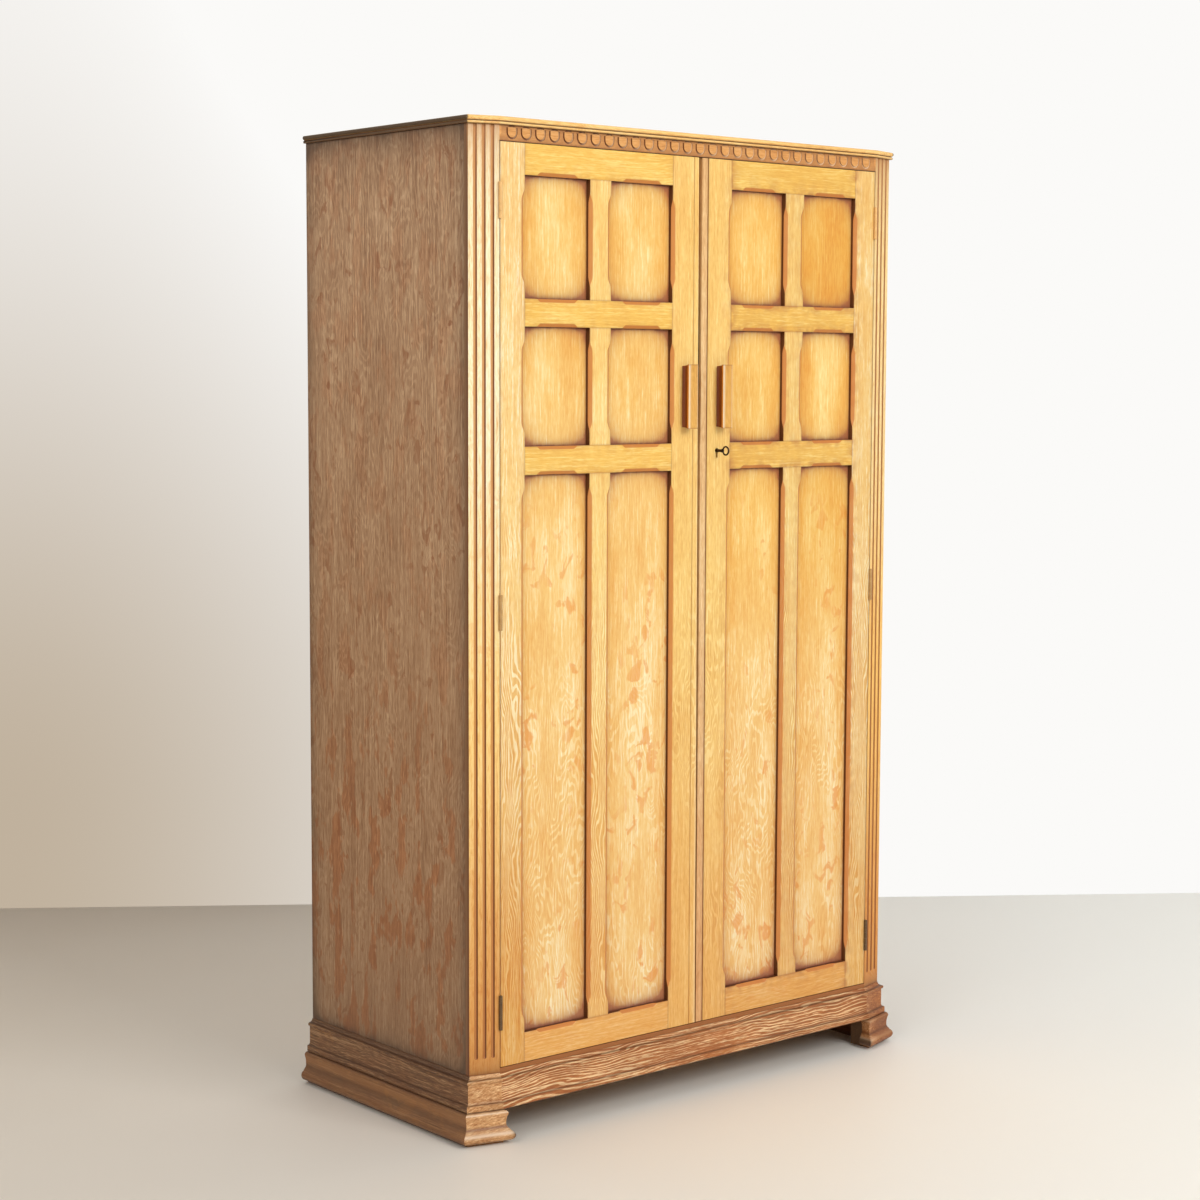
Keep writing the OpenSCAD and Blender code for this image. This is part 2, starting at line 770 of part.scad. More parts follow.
// Stopped chamfer along +Z from the origin, on the arris between a front face, where the
// wood lies towards -X and +Y, and an opening towards +X. Its ends run out in an ogee.
module stopped_chamfer(w, run_out, length) {
    h = w * chamfer_d / norm([w, chamfer_d]);
    ogee = [for (i = [0:chamfer_steps]) [run_out * i / chamfer_steps, -h * (1 - cos(180 * i / chamfer_steps)) / 2]];
    back = [for (i = [chamfer_steps:-1:0]) [length - ogee[i][0], ogee[i][1]]];
    reach = w + chamfer_d;
    rotate([0, 0, 180 + atan2(chamfer_d, w)]) rotate([0, -90, 0])
        translate([0, 0, -reach]) linear_extrude(height = 2 * reach)
            polygon(concat(ogee, back, [[length + cut, 0], [length + cut, chamfer_d], [-cut, chamfer_d], [-cut, 0]]));
}

module upright_chamfers(u) {
    for (r = ROWS)
        translate([u, 0, r[0] + chamfer_stop])
            stopped_chamfer(chamfer_w, chamfer_run, r[1] - r[0] - 2 * chamfer_stop);
}

// Chamfers of a rail's top edge, over both bays
module rail_chamfers(s, z) {
    for (k = [0, 1])
        translate([bay_u(s, k) + bay_w(s) - rail_chamfer_stop, 0, z]) rotate([0, -90, 0])
            stopped_chamfer(rail_chamfer_w, rail_chamfer_run, bay_w(s) - 2 * rail_chamfer_stop);
}

module panel_slot(low, high) {
    box([low[0], panel_in - joint_gap, low[1]], [high[0], panel_in + panel_t + joint_gap, high[1]]);
}

// The z ranges of the rails, bottom, lock, upper and top, each with the length of its tenon
// into the meeting stile. The lock rails have stub tenons, which stay clear of the lock.
lock_tenon_l = right_meeting_w + bead_w - lock_in - case_right - 2;
RAILS = [[door_z0, row_three_low, tenon_l], [row_three_top, row_two_low, lock_tenon_l],
         [row_two_top, row_one_low, tenon_l], [row_one_top, door_z1, tenon_l]];
tenon_in = 5;

module stile_slots(u, toward) {
    panel_slot([min(u, u + toward * groove_d), door_z0 + bottom_rail_h / 2],
        [max(u, u + toward * groove_d), door_z1 - top_rail_h / 2]);
    for (r = RAILS) {
        end = u + toward * ((toward > 0 ? r[2] : tenon_l) + free_gap);
        panel_slot([min(u, end), r[0] + tenon_in - joint_gap], [max(u, end), r[1] - tenon_in + joint_gap]);
    }
}

module hinge_stile(s) {
    on_door(s) difference() {
        box([0, 0, door_z0], [stile_w, door_t, door_z1]);
        stile_slots(stile_w, -1);
        upright_chamfers(stile_w);
        at_door_hinges() leaf_recess();
    }
}

// Wedge planed off a meeting edge above taper_z
module edge_taper(s) {
    amount = s == LEFT ? taper_left : taper_right;
    w = door_w(s);
    on_door(s) translate([0, door_t + cut, 0]) rotate([90, 0, 0]) linear_extrude(height = door_t + 2 * cut)
        polygon([[w, taper_z], [w + cut, taper_z], [w + cut, door_z1 + cut], [w - amount, door_z1 + cut],
                 [w - amount, door_z1]]);
}

module meeting_stile(s) {
    u0 = door_w(s) - meeting_w(s);
    u1 = s == LEFT ? door_w(s) : door_w(s) - bead_w;
    difference() {
        on_door(s) difference() {
            box([u0, 0, door_z0], [u1, door_t, door_z1]);
            stile_slots(u0, 1);
            translate([u0, 0, 0]) mirror([1, 0, 0]) upright_chamfers(0);
            at_handle_screws(s) screw_hole(handle_screw_l);
        }
        edge_taper(s);
    }
}

module left_meeting_cuts() {
    on_door(LEFT) {
        box([door_w(LEFT) - quirk_in - quirk, -cut, door_z0 - cut],
            [door_w(LEFT) - quirk_in, 0.8, door_z1 + cut]);
        at_slip_screws() screw_hole(hinge_screw_l);
    }
    at_strike() {
        strike_blank(joint_gap);
        strike_hole(-strike_pocket);
        at_strike_screws() screw_hole(hinge_screw_l);
    }
}

module lock_cuts() {
    at_lock() {
        case_blank(joint_gap);
        keyhole(-cut, door_t);
    }
}

module top_rail(s) { rail(s, RAILS[3], false, true); }
module upper_rail(s) { rail(s, RAILS[2], true, true); }
module lock_rail(s) { rail(s, RAILS[1], true, true); }
module bottom_rail(s) { rail(s, RAILS[0], true, false); }

// A rail between the stiles, with a tenon at each end and panel grooves in its inner edges
module rail(s, r, above, below) {
    u0 = stile_w;
    u1 = stile_w + rail_len(s);
    on_door(s) difference() {
        union() {
            box([u0, 0, r[0]], [u1, door_t, r[1]]);
            box([u0 - tenon_l, panel_in, r[0] + tenon_in], [u1 + r[2], panel_in + panel_t, r[1] - tenon_in]);
        }
        if (above) {
            panel_slot([u0 - cut, r[1] - groove_d], [u1 + cut, r[1] + cut]);
            rail_chamfers(s, r[1]);
        }
        if (below) {
            panel_slot([u0 - cut, r[0] - cut], [u1 + cut, r[0] + groove_d]);
            translate([0, 0, 2 * r[0]]) mirror([0, 0, 1]) rail_chamfers(s, r[0]);
        }
        if (above) box([u0 - tenon_l - cut, 0, r[1] - groove_d - joint_gap], [u0, door_t, r[1] + cut]);
        if (above) box([u1, 0, r[1] - groove_d - joint_gap], [u1 + tenon_l + cut, door_t, r[1] + cut]);
        if (below) box([u0 - tenon_l - cut, 0, r[0] - cut], [u0, door_t, r[0] + groove_d + joint_gap]);
        if (below) box([u1, 0, r[0] - cut], [u1 + tenon_l + cut, door_t, r[0] + groove_d + joint_gap]);
    }
}

module muntins(s) {
    u0 = stile_w + bay_w(s);
    u1 = u0 + muntin_w;
    on_door(s) difference() {
        for (r = ROWS) {
            box([u0, 0, r[0]], [u1, door_t, r[1]]);
            box([u0 + groove_d, panel_in, r[0] - panel_out], [u1 - groove_d, panel_in + panel_t, r[1] + panel_out]);
        }
        panel_slot([u0 - cut, 0], [u0 + groove_d, total_h]);
        panel_slot([u1 - groove_d, 0], [u1 + cut, total_h]);
        upright_chamfers(u1);
        translate([u0, 0, 0]) mirror([1, 0, 0]) upright_chamfers(0);
    }
}

module panels(s) {
    on_door(s) for (r = ROWS, k = [0, 1])
        box([bay_u(s, k) - panel_out, panel_in, r[0] - panel_out],
            [bay_u(s, k) + bay_w(s) + panel_out, panel_in + panel_t, r[1] + panel_out]);
}

// Half of a handle's section, from the door outwards, in width and reach
function handle_half() = concat(
    [[handle_neck_w / 2, 0]],
    arc([handle_w / 2 + 2, -(handle_out - handle_bar) / 2], (handle_out - handle_bar) / 2, 120, 240, 8),
    [[handle_w / 2, -(handle_out - handle_bar) - 1]],
    arc([handle_w / 2 - handle_round, -handle_out + handle_round], handle_round, 0, -90, 6));

module handle(s) {
    half = handle_half();
    mirrored = [for (i = [len(half) - 1:-1:0]) [-half[i][0], half[i][1]]];
    on_door(s) difference() {
        translate([handle_u(s), 0, handle_z - handle_h / 2])
            linear_extrude(height = handle_h) polygon(concat(half, mirrored));
        for (e = [-1, 1]) translate([handle_u(s) - handle_w, 0, handle_z]) mirror([0, 0, e < 0 ? 1 : 0])
            rotate([90, 0, 90]) linear_extrude(height = 2 * handle_w)
                polygon([[cut, handle_h / 2 - handle_slope], [cut, handle_h / 2 + cut],
                         [-(handle_out - handle_bar), handle_h / 2 + cut], [-(handle_out - handle_bar), handle_h / 2],
                         [0, handle_h / 2 - handle_slope]]);
        at_handle_screws(s) screw_hole(handle_screw_l);
    }
}

module at_handle_screws(s) {
    for (e = [-1, 1])
        translate([handle_u(s), door_t, handle_z + e * handle_screw_z]) rotate([-90, 0, 0]) children();
}

module door_leaves(s) {
    on_door(s) at_door_hinges() leaf(1);
}

module door_screws(s) {
    on_door(s) {
        at_door_hinges() at_leaf_screws() screw(hinge_screw_l);
        at_handle_screws(s) screw(handle_screw_l);
    }
}

module left_hinge_stile() { color("khaki") hinge_stile(LEFT); }
module right_hinge_stile() { color("khaki") hinge_stile(RIGHT); }
module left_top_rail() { color("burlywood") top_rail(LEFT); }
module right_top_rail() { color("burlywood") top_rail(RIGHT); }
module left_upper_rail() { color("burlywood") upper_rail(LEFT); }
module right_upper_rail() { color("burlywood") upper_rail(RIGHT); }
module left_lock_rail() { color("burlywood") lock_rail(LEFT); }
module right_lock_rail() { color("burlywood") lock_rail(RIGHT); }
module left_bottom_rail() { color("burlywood") bottom_rail(LEFT); }
module right_bottom_rail() { color("burlywood") bottom_rail(RIGHT); }
module left_muntins() { color("khaki") muntins(LEFT); }
module right_muntins() { color("khaki") muntins(RIGHT); }
module left_panels() { color("moccasin") panels(LEFT); }
module right_panels() { color("moccasin") panels(RIGHT); }
module left_handle() { color("saddlebrown") handle(LEFT); }
module right_handle() { color("saddlebrown") handle(RIGHT); }
module left_hinge_leaves() { color("darkgoldenrod") door_leaves(LEFT); }
module right_hinge_leaves() { color("darkgoldenrod") door_leaves(RIGHT); }

module left_meeting_stile() {
    color("khaki") difference() {
        meeting_stile(LEFT);
        left_meeting_cuts();
    }
}

module right_meeting_stile() {
    color("khaki") difference() {
        meeting_stile(RIGHT);
        lock_cuts();
    }
}

module left_door_screws() {
    color("gray") {
        door_screws(LEFT);
        at_strike() at_strike_screws() screw(hinge_screw_l);
        on_door(LEFT) at_slip_screws() screw(hinge_screw_l);
    }
}

module right_door_screws() { color("gray") door_screws(RIGHT); }

module meeting_bead() {
    u0 = door_w(RIGHT) - bead_w;
    color("darksalmon") difference() {
        on_door(RIGHT) difference() {
            box([u0, 0, door_z0], [door_w(RIGHT), door_t, door_z1]);
            box([u0 - cut, -cut, door_z0 - cut], [u0 + quirk, quirk, door_z1 + cut]);
        }
        edge_taper(RIGHT);
        lock_cuts();
    }
}

// Strike plate, let into the left door's meeting edge
module at_strike() {
    centred() translate([left_edge_x, 0, lock_z]) children();
}

module strike_blank(gap) {
    box([-selvedge_t - gap, case_in - 1.5 - gap, -strike_half_h - gap], [gap, door_t - 0.8 + gap, strike_half_h + gap]);
}

// Hole for the bolt, from the depth given to past the door's edge
module strike_hole(depth) {
    box([depth, bolt_y - strike_gap, -bolt_half_h - strike_gap],
        [cut, bolt_y + bolt_t + strike_gap, bolt_half_h + strike_gap]);
}

module at_strike_screws() {
    for (e = [-1, 1])
        translate([0, door_t / 2 + 4.5, e * 21]) rotate([0, 90, 0]) children();
}

module strike_plate() {
    color("gold") at_strike() difference() {
        strike_blank(0);
        strike_hole(-selvedge_t - cut);
        at_strike_screws() screw_hole(hinge_screw_l);
    }
}

// Slip bolts inside the left door. The frame of reference has the shooting end upwards
module at_slips() {
    centred() translate([slip_x, 0, stop_z - slip_rest_gap]) children();
    centred() translate([slip_x, 0, lip_z + stop_h_low + slip_rest_gap]) mirror([0, 0, 1]) children();
}

module at_slip_screws() {
    for (z = [stop_z - slip_rest_gap, lip_z + stop_h_low + slip_rest_gap], e = [-1, 1])
        translate([slip_x + door_x, door_t + slip_plate_t,
                   z + (z > handle_z ? -1 : 1) * (slip_plate_h / 2 + 4 + e * (slip_plate_h / 2 - 24))])
            translate([8.5 * e, 0, 0]) rotate([-90, 0, 0]) children();
}

module slip_case() {
    difference() {
        union() {
            box([-slip_plate_w / 2, door_t, -slip_plate_h - 4], [slip_plate_w / 2, door_t + slip_plate_t, -4]);
            for (z = [-slip_guide_h - 4, -slip_plate_h - 4])
                box([-slip_guide_w / 2, door_t + slip_plate_t, z],
                    [slip_guide_w / 2, slip_y + slip_r + 1.5, z + slip_guide_h]);
        }
        translate([0, slip_y, -slip_plate_h - 4 - cut]) cylinder(r = slip_r + fit, h = slip_plate_h + 2 * cut);
    }
}

module left_bolt_cases() {
    color("gold") difference() {
        at_slips() slip_case();
        on_door(LEFT) at_slip_screws() screw_hole(hinge_screw_l);
    }
}

module slip_bolt() {
    rod_l = slip_plate_h + 8;
    translate([0, slip_y, -rod_l]) cylinder(r = slip_r, h = rod_l - 1);
    translate([0, slip_y, -1]) cylinder(r1 = slip_r, r2 = slip_r - 1, h = 1);
    translate([0, slip_y, -slip_plate_h / 2 - 10]) rotate([-90, 0, 0]) cylinder(r = slip_r - 0.5, h = 12);
    translate([0, slip_y + 12, -slip_plate_h / 2 - 10]) rotate([-90, 0, 0]) cylinder(r = slip_r + 1.5, h = 4);
}

module left_top_bolt() {
    color("khaki") centred() translate([slip_x, 0, stop_z - slip_rest_gap]) slip_bolt();
}

module left_bottom_bolt() {
    color("khaki") centred() translate([slip_x, 0, lip_z + stop_h_low + slip_rest_gap]) mirror([0, 0, 1]) slip_bolt();
}

// Lock in the right door
module keyhole(y0, y1) {
    translate([0, y1, 0]) rotate([90, 0, 0]) cylinder(r = keyhole_r, h = y1 - y0);
    box([-keyhole_w / 2, y0, -keyhole_low], [keyhole_w / 2, y1, 0]);
}

module case_blank(gap) {
    box([-lock_in, case_in - 1.5 - gap, -selvedge_half_h - gap],
        [-lock_in + selvedge_t + gap, door_t - 1 + gap, selvedge_half_h + gap]);
    box([-lock_in, case_in - gap, -case_half_h - gap], [case_right + gap, door_t + (gap > 0 ? cut : 0), case_half_h + gap]);
}

module lock_case() {
    inner = [-lock_in + selvedge_t + case_wall, case_in + case_wall, -case_half_h + case_wall];
    color("gold") at_lock() difference() {
        case_blank(0);
        box(inner, [case_right - case_wall, door_t - 2, case_half_h - case_wall]);
        translate([0, case_in + case_wall + cut, 0]) rotate([90, 0, 0]) cylinder(r = drum_r + fit, h = case_wall + 2 * cut);
        box([-keyhole_w / 2, case_in - cut, -keyhole_low], [keyhole_w / 2, case_in + case_wall + cut, 0]);
        translate([0, door_t + cut, 0]) rotate([90, 0, 0]) cylinder(r = drum_back_r + fit, h = 2 + 2 * cut);
        box([-lock_in - cut, bolt_y - bolt_gap, -bolt_half_h - bolt_gap],
            [inner[0] + cut, bolt_y + bolt_t + bolt_gap, bolt_half_h + bolt_gap]);
    }
}

module lock_bolt() {
    sweep = bit_r + 1.4;
    tail_top = 17;
    lug_low = 8.5;
    color("khaki") at_lock() translate([-bolt_gap, 0, 0]) {
        box([-lock_in + 2 * bolt_gap, bolt_y, -bolt_half_h], [-sweep - 1.5, bolt_y + bolt_t, bolt_half_h]);
        box([-24, bolt_y, 0], [-sweep - 1.5, bolt_y + bolt_t, tail_top]);
        box([-sweep - 2, bolt_y, sweep], [16, bolt_y + bolt_t, tail_top]);
        box([-9.5, bolt_y, lug_low], [-5, bolt_y + bolt_t, sweep + 1]);
        box([13.5, bolt_y, lug_low], [16, bolt_y + bolt_t, sweep + 1]);
    }
}

module key_drum() {
    y0 = case_in + 0.3;
    y1 = door_t - 2 - 0.4;
    color("gold") at_lock() difference() {
        union() {
            translate([0, y1, 0]) rotate([90, 0, 0]) cylinder(r = drum_r, h = y1 - y0);
            translate([0, door_t, 0]) rotate([90, 0, 0]) cylinder(r = drum_back_r, h = door_t - y1 + cut / 2);
        }
        translate([0, y1 - 1, 0]) rotate([90, 0, 0]) cylinder(r = shank_r + fit, h = y1);
        box([-bit_t / 2 - 0.3, y0 - cut, -drum_r - cut], [bit_t / 2 + 0.3, y1 - 1, 0]);
    }
}

module key() {
    tip = door_t - 2 - 0.4 - 1 - 0.3;
    bit_w = 4;
    neck = bow_out - bow_r + bow_rod_r;
    color("dimgray") at_lock() {
        translate([0, tip, 0]) rotate([90, 0, 0]) cylinder(r = shank_r, h = tip + neck);
        difference() {
            box([-bit_t / 2, tip - bit_w, -bit_r], [bit_t / 2, tip, 0]);
            box([-bit_t, tip - bit_w / 2 - 0.5, -bit_r - cut], [bit_t, tip - bit_w / 2 + 0.5, -bit_r + 3]);
        }
        translate([0, -neck + 2.5, 0]) rotate([90, 0, 0]) cylinder(r = shank_r + 0.9, h = 2);
        translate([0, -bow_out, 0]) rotate([0, 90, 0]) rotate_extrude() translate([bow_r - bow_rod_r, 0]) circle(r = bow_rod_r);
    }
}

left_side_panel();
right_side_panel();
left_pilaster();
right_pilaster();
top_board();
top_rails();
frieze();
back_panel();
rear_posts();
bottom_board();
door_stops();
hat_shelf();
shelf_cleats();
hanging_rail();
rail_sockets();
apron();
left_plinth_corner();
right_plinth_corner();
left_plinth_side();
right_plinth_side();
left_foot();
right_foot();
left_base_side();
right_base_side();
plinth_framing();
carcass_hinge_leaves();
hinge_pins();
carcass_screws();
bolt_keeps();
left_hinge_stile();
left_meeting_stile();
left_top_rail();
left_upper_rail();
left_lock_rail();
left_bottom_rail();
left_muntins();
left_panels();
left_handle();
left_hinge_leaves();
left_door_screws();
left_bolt_cases();
left_top_bolt();
left_bottom_bolt();
strike_plate();
right_hinge_stile();
right_meeting_stile();
right_top_rail();
right_upper_rail();
right_lock_rail();
right_bottom_rail();
right_muntins();
right_panels();
right_handle();
right_hinge_leaves();
right_door_screws();
meeting_bead();
lock_case();
lock_bolt();
key_drum();
key();
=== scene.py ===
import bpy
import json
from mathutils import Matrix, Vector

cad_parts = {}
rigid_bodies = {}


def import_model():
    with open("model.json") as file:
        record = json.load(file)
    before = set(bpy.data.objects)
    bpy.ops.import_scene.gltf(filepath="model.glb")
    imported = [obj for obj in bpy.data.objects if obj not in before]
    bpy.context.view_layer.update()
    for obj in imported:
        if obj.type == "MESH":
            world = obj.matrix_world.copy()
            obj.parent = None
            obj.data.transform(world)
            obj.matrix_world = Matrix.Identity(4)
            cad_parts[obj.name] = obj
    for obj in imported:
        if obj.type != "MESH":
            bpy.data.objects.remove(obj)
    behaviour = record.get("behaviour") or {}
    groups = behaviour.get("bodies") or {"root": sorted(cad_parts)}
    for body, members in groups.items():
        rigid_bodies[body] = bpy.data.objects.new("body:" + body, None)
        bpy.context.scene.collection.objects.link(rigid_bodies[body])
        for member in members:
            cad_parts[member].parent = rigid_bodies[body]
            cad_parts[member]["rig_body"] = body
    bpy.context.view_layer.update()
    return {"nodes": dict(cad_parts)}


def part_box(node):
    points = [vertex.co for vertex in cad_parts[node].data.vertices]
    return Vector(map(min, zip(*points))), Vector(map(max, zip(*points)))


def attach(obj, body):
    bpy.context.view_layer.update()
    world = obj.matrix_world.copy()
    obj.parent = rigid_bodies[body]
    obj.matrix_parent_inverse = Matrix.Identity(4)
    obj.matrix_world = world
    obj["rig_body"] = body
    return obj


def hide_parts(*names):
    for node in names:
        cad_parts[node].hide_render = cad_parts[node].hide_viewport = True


bl_info = {
    "name": "Oak wardrobe",
    "version": (1, 0, 0),
    "blender": (4, 5, 0),
    "location": "View3D > Sidebar > Wardrobe",
    "description": "Dresses a two-door oak wardrobe with canted, fluted corners",
    "category": "Object",
}
import json
import math
import random

import bmesh
import bpy
from bpy.props import FloatProperty, FloatVectorProperty, PointerProperty
from mathutils import Matrix, Vector

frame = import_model()
NODES = frame["nodes"]

SIDES = ("left", "right")
RAILS = ("bottom", "lock", "upper", "top")


def colour(red, green, blue):
    """A colour as the eye names it, 0 to 255, in the linear numbers of a shader."""
    def linear(v):
        v /= 255
        return v / 12.92 if v <= 0.04045 else ((v + 0.055) / 1.055) ** 2.4
    return (linear(red), linear(green), linear(blue), 1)


def darker(red, green, blue, strength):
    """A colour made darker and browner by a strength below 1."""
    return colour(red * strength, green * strength ** 1.3, blue * strength ** 1.6)


# Places on the wardrobe, read from the frame
FACE_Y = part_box("left_hinge_stile")[0].y
DOOR_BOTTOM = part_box("left_hinge_stile")[0].z
PILASTER_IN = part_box("right_pilaster")[0].x
HALF_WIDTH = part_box("right_pilaster")[1].x
PLINTH_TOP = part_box("apron")[1].z
TOP_LOW, TOP_HIGH = (corner.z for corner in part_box("top_board"))
ROWS = [(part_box("left_%s_rail" % low)[1].z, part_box("left_%s_rail" % high)[0].z)
        for low, high in zip(RAILS, RAILS[1:])]
DOOR_GAP = 0.003
DOORS_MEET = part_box("left_meeting_stile")[1].x + DOOR_GAP / 2
# How far behind the door faces the toning of the front ends
FRONT_ENDS = (0.011, 0.0115)


def bays(side):
    """The two openings between a door's stiles and muntins, from left to right."""
    muntin = [corner.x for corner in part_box(side + "_muntins")]
    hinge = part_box(side + "_hinge_stile")
    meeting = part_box(side + "_meeting_stile")
    if side == "left":
        return [(hinge[1].x, muntin[0]), (muntin[1], meeting[0].x)]
    return [(meeting[1].x, muntin[0]), (muntin[1], hinge[0].x)]


class Value:
    """A number in a material, used in plain expressions."""

    def __init__(self, finish, socket):
        self.finish = finish
        self.socket = socket

    def _with(self, operation, *values):
        return self.finish.sum(operation, *values)

    def __add__(self, other):
        return self._with("ADD", self, other)

    def __sub__(self, other):
        return self._with("SUBTRACT", self, other)

    def __rsub__(self, other):
        return self._with("SUBTRACT", other, self)

    def __mul__(self, other):
        return self._with("MULTIPLY", self, other)

    def __truediv__(self, other):
        return self._with("DIVIDE", self, other)

    def __rtruediv__(self, other):
        return self._with("DIVIDE", other, self)

    def __abs__(self):
        return self._with("ABSOLUTE", self)

    __radd__ = __add__
    __rmul__ = __mul__

    def least(self, other):
        return self._with("MINIMUM", self, other)

    def most(self, other):
        return self._with("MAXIMUM", self, other)

    def power(self, other):
        return self._with("POWER", self, other)

    def sine(self):
        return self._with("SINE", self)

    def fraction(self):
        return self._with("FRACT", self)

    def fade(self, length):
        """1 where the number is 0, dying away over a length."""
        return self._with("EXPONENT", self * (-1 / length))

    def held(self):
        """The number kept between 0 and 1."""
        return self.least(1).most(0)

    def ramp(self, low, high):
        """A soft step from 0 at low to 1 at high."""
        made = self.finish.node("MapRange", {"interpolation_type": "SMOOTHSTEP"},
                                {"Value": self, "From Min": low, "From Max": high})
        return Value(self.finish, made.outputs["Result"])


class Recipe:
    """The nodes of a material or of the daylight, emptied and ready to be made."""

    def __init__(self, owner):
        owner.use_nodes = True
        self.tree = owner.node_tree
        self.tree.nodes.clear()

    def node(self, kind, settings=None, sockets=None):
        """Any node: its settings first, then the values or links of its sockets."""
        made = self.tree.nodes.new("ShaderNode" + kind)
        for key, setting in (settings or {}).items():
            if key == "stops":
                ramp = made.color_ramp.elements
                while len(ramp) < len(setting):
                    ramp.new(0.5)
                for stop, (position, tint) in zip(ramp, setting):
                    stop.position = position
                    stop.color = tint
            else:
                setattr(made, key, setting)
        for key, value in (sockets or {}).items():
            if isinstance(value, Value):
                value = value.socket
            if isinstance(value, bpy.types.NodeSocket):
                self.tree.links.new(value, made.inputs[key])
            else:
                made.inputs[key].default_value = value
        return made

    def sum(self, operation, *values):
        made = self.node("Math", {"operation": operation}, dict(enumerate(values)))
        return Value(self, made.outputs[0])


class Finish(Recipe):
    """A material under construction, with the place on the object and each board's own marks."""

    def __init__(self, name):
        self.material = bpy.data.materials.new(name)
        super().__init__(self.material)
        place = self.node("TexCoord").outputs["Object"]
        split = self.node("SeparateXYZ", {}, {0: place})
        self.x, self.y, self.z = (Value(self, split.outputs[i]) for i in range(3))
        self.board, self.facing = (self.mark(name) for name in ("board", "facing"))

    def mark(self, name):
        """A number kept in the mesh, such as a board's own."""
        return Value(self, self.node("Attribute", {"attribute_name": name}).outputs["Fac"])

    def vector(self, x, y, z):
        return self.node("CombineXYZ", {}, {0: x, 1: y, 2: z}).outputs[0]

    def noise(self, place, detail=2.0, roughness=0.5, distortion=0.0):
        made = self.node("TexNoise", {}, {"Vector": place, "Scale": 1.0, "Detail": detail,
                                          "Roughness": roughness, "Distortion": distortion})
        return Value(self, made.outputs[0])

    def mix(self, amount, under, over, blend="MIX"):
        made = self.node("Mix", {"data_type": "RGBA", "blend_type": blend, "clamp_factor": True},
                         {0: amount, 6: under, 7: over})
        return made.outputs[2]

    def multiply_tint(self, amount, under, tint):
        """A colour with a tint multiplied in, by an amount from 0 to 1, for real tints and for
        painted shade.
        """
        return self.mix(amount, under, self.mix(1.0, under, tint, "MULTIPLY"))

    def tints(self, amount, stops):
        return self.node("ValToRGB", {"stops": stops}, {0: amount}).outputs[0]

    def nearest(self, value, lines):
        """Distance to the nearest of some fixed lines."""
        found = abs(value - lines[0])
        for line in lines[1:]:
            found = found.least(abs(value - line))
        return found

    def done(self, base, roughness, height=None, relief=0.2, rise=0.001, metal=0.0, sheen=0.5):
        """Ends the material with its colour, its gloss and the relief of its surface."""
        sockets = {"Base Color": base, "Roughness": roughness, "Metallic": metal,
                   "Specular IOR Level": sheen}
        if height is not None:
            bump = self.node("Bump", {}, {"Height": height, "Strength": relief, "Distance": rise})
            sockets["Normal"] = bump.outputs[0]
        shader = self.node("BsdfPrincipled", {}, sockets)
        self.node("OutputMaterial", {}, {"Surface": shader.outputs[0]})
        return self.material


def oak(name, grain, pale, gold, deep, streak=0.5, fleck=0.3, figure=0.2, figured=(-9.0, 9.0),
        wild=30.0, pitch=110, broad=0.35, shade=None, shine=0.4, flake=(222, 146, 66),
        flake_top=9.0, lime=0.0, seed=0.0):
    """Oak. The grain runs along one axis, with rays, ring figure and open pores.

    streak, fleck, figure and broad are the strengths of the fine lines, the rays, the rings and the
    wide bands. figured gives the heights between which the rings show, and flake_top the height
    above which the rays fade out. wild is how far the rings stray from straight lines, pitch their
    number in a metre, and lime the strength of the pale lines in the open pores.
    shade takes the finish and the colour so far, and returns the colour to use.
    """
    f = Finish(name)
    start = f.board * 37 + seed
    if grain == "Z":
        across, through, along = f.x, f.y, f.z
    elif grain == "X":
        across, through, along = f.z + f.y * 0.6, f.y, f.x
    else:
        across, through, along = f.z + f.x * 0.6, f.x, f.y
    drift = f.noise(f.vector(across * 7 + start, through * 7, along * 1.6), 1)
    wriggle = f.noise(f.vector(across * 34, through * 34, along * 13 + start), 1)
    straight = across + (drift - 0.5) * 0.014 + (wriggle - 0.5) * 0.001
    bent = across + (drift - 0.5) * 0.03 + (wriggle - 0.5) * 0.007
    slow = f.noise(f.vector(bent * 16 + start, through * 16, along * 4.5 + start), 3, 0.55)
    lines = f.noise(f.vector(straight * 290 + start, through * 290, along * 8), 3, 0.7)
    pores = f.noise(f.vector(straight * 620 + start, through * 620, along * 60), 2, 0.6)
    rays = f.noise(f.vector(bent * 40, through * 40 + start, along * 24), 3, 0.5, 0.9)
    rays = rays.ramp(0.56, 0.64) * slow.ramp(0.42, 0.6)
    rays = rays * (1 - f.z.ramp(flake_top - 0.3, flake_top))
    rings = f.noise(f.vector(bent * 15 + start, through * 15, along * 4.2), 3, 0.42)
    rings = ((rings * wild + bent * pitch) * math.tau).sine() * 0.5 + 0.5
    ringed = f.noise(f.vector(across * 6, through * 6, along * 2.4 + start), 1).ramp(0.32, 0.48)
    ringed = ringed * (1 - f.z.ramp(figured[1] - 0.2, figured[1] + 0.1))
    ringed = ringed * f.z.ramp(figured[0] - 0.05, figured[0] + 0.15)
    light = 0.46 + (slow - 0.5) * broad * 2 + ((lines - 0.5) * 2.4 + (pores - 0.5) * 2.4) * streak
    light = light + (rings.ramp(0.56, 0.88) - 0.32) * ringed * figure
    if lime:
        light = light + lines.ramp(0.53, 0.64) * pores.ramp(0.4, 0.5) * lime
    wood = f.tints(light.held(), [(0.0, deep), (0.45, gold), (1.0, pale)])
    wood = f.mix(rays * fleck, wood, colour(*flake))
    if shade is not None:
        wood = shade(f, wood)
    rough = shine + 0.14 * (pores - 0.5) + 0.1 * (slow - 0.5)
    height = lines * 0.7 + pores * 0.7 - rays * 0.3
    return f.done(wood, rough, height, 0.22, 0.0008, sheen=0.3)


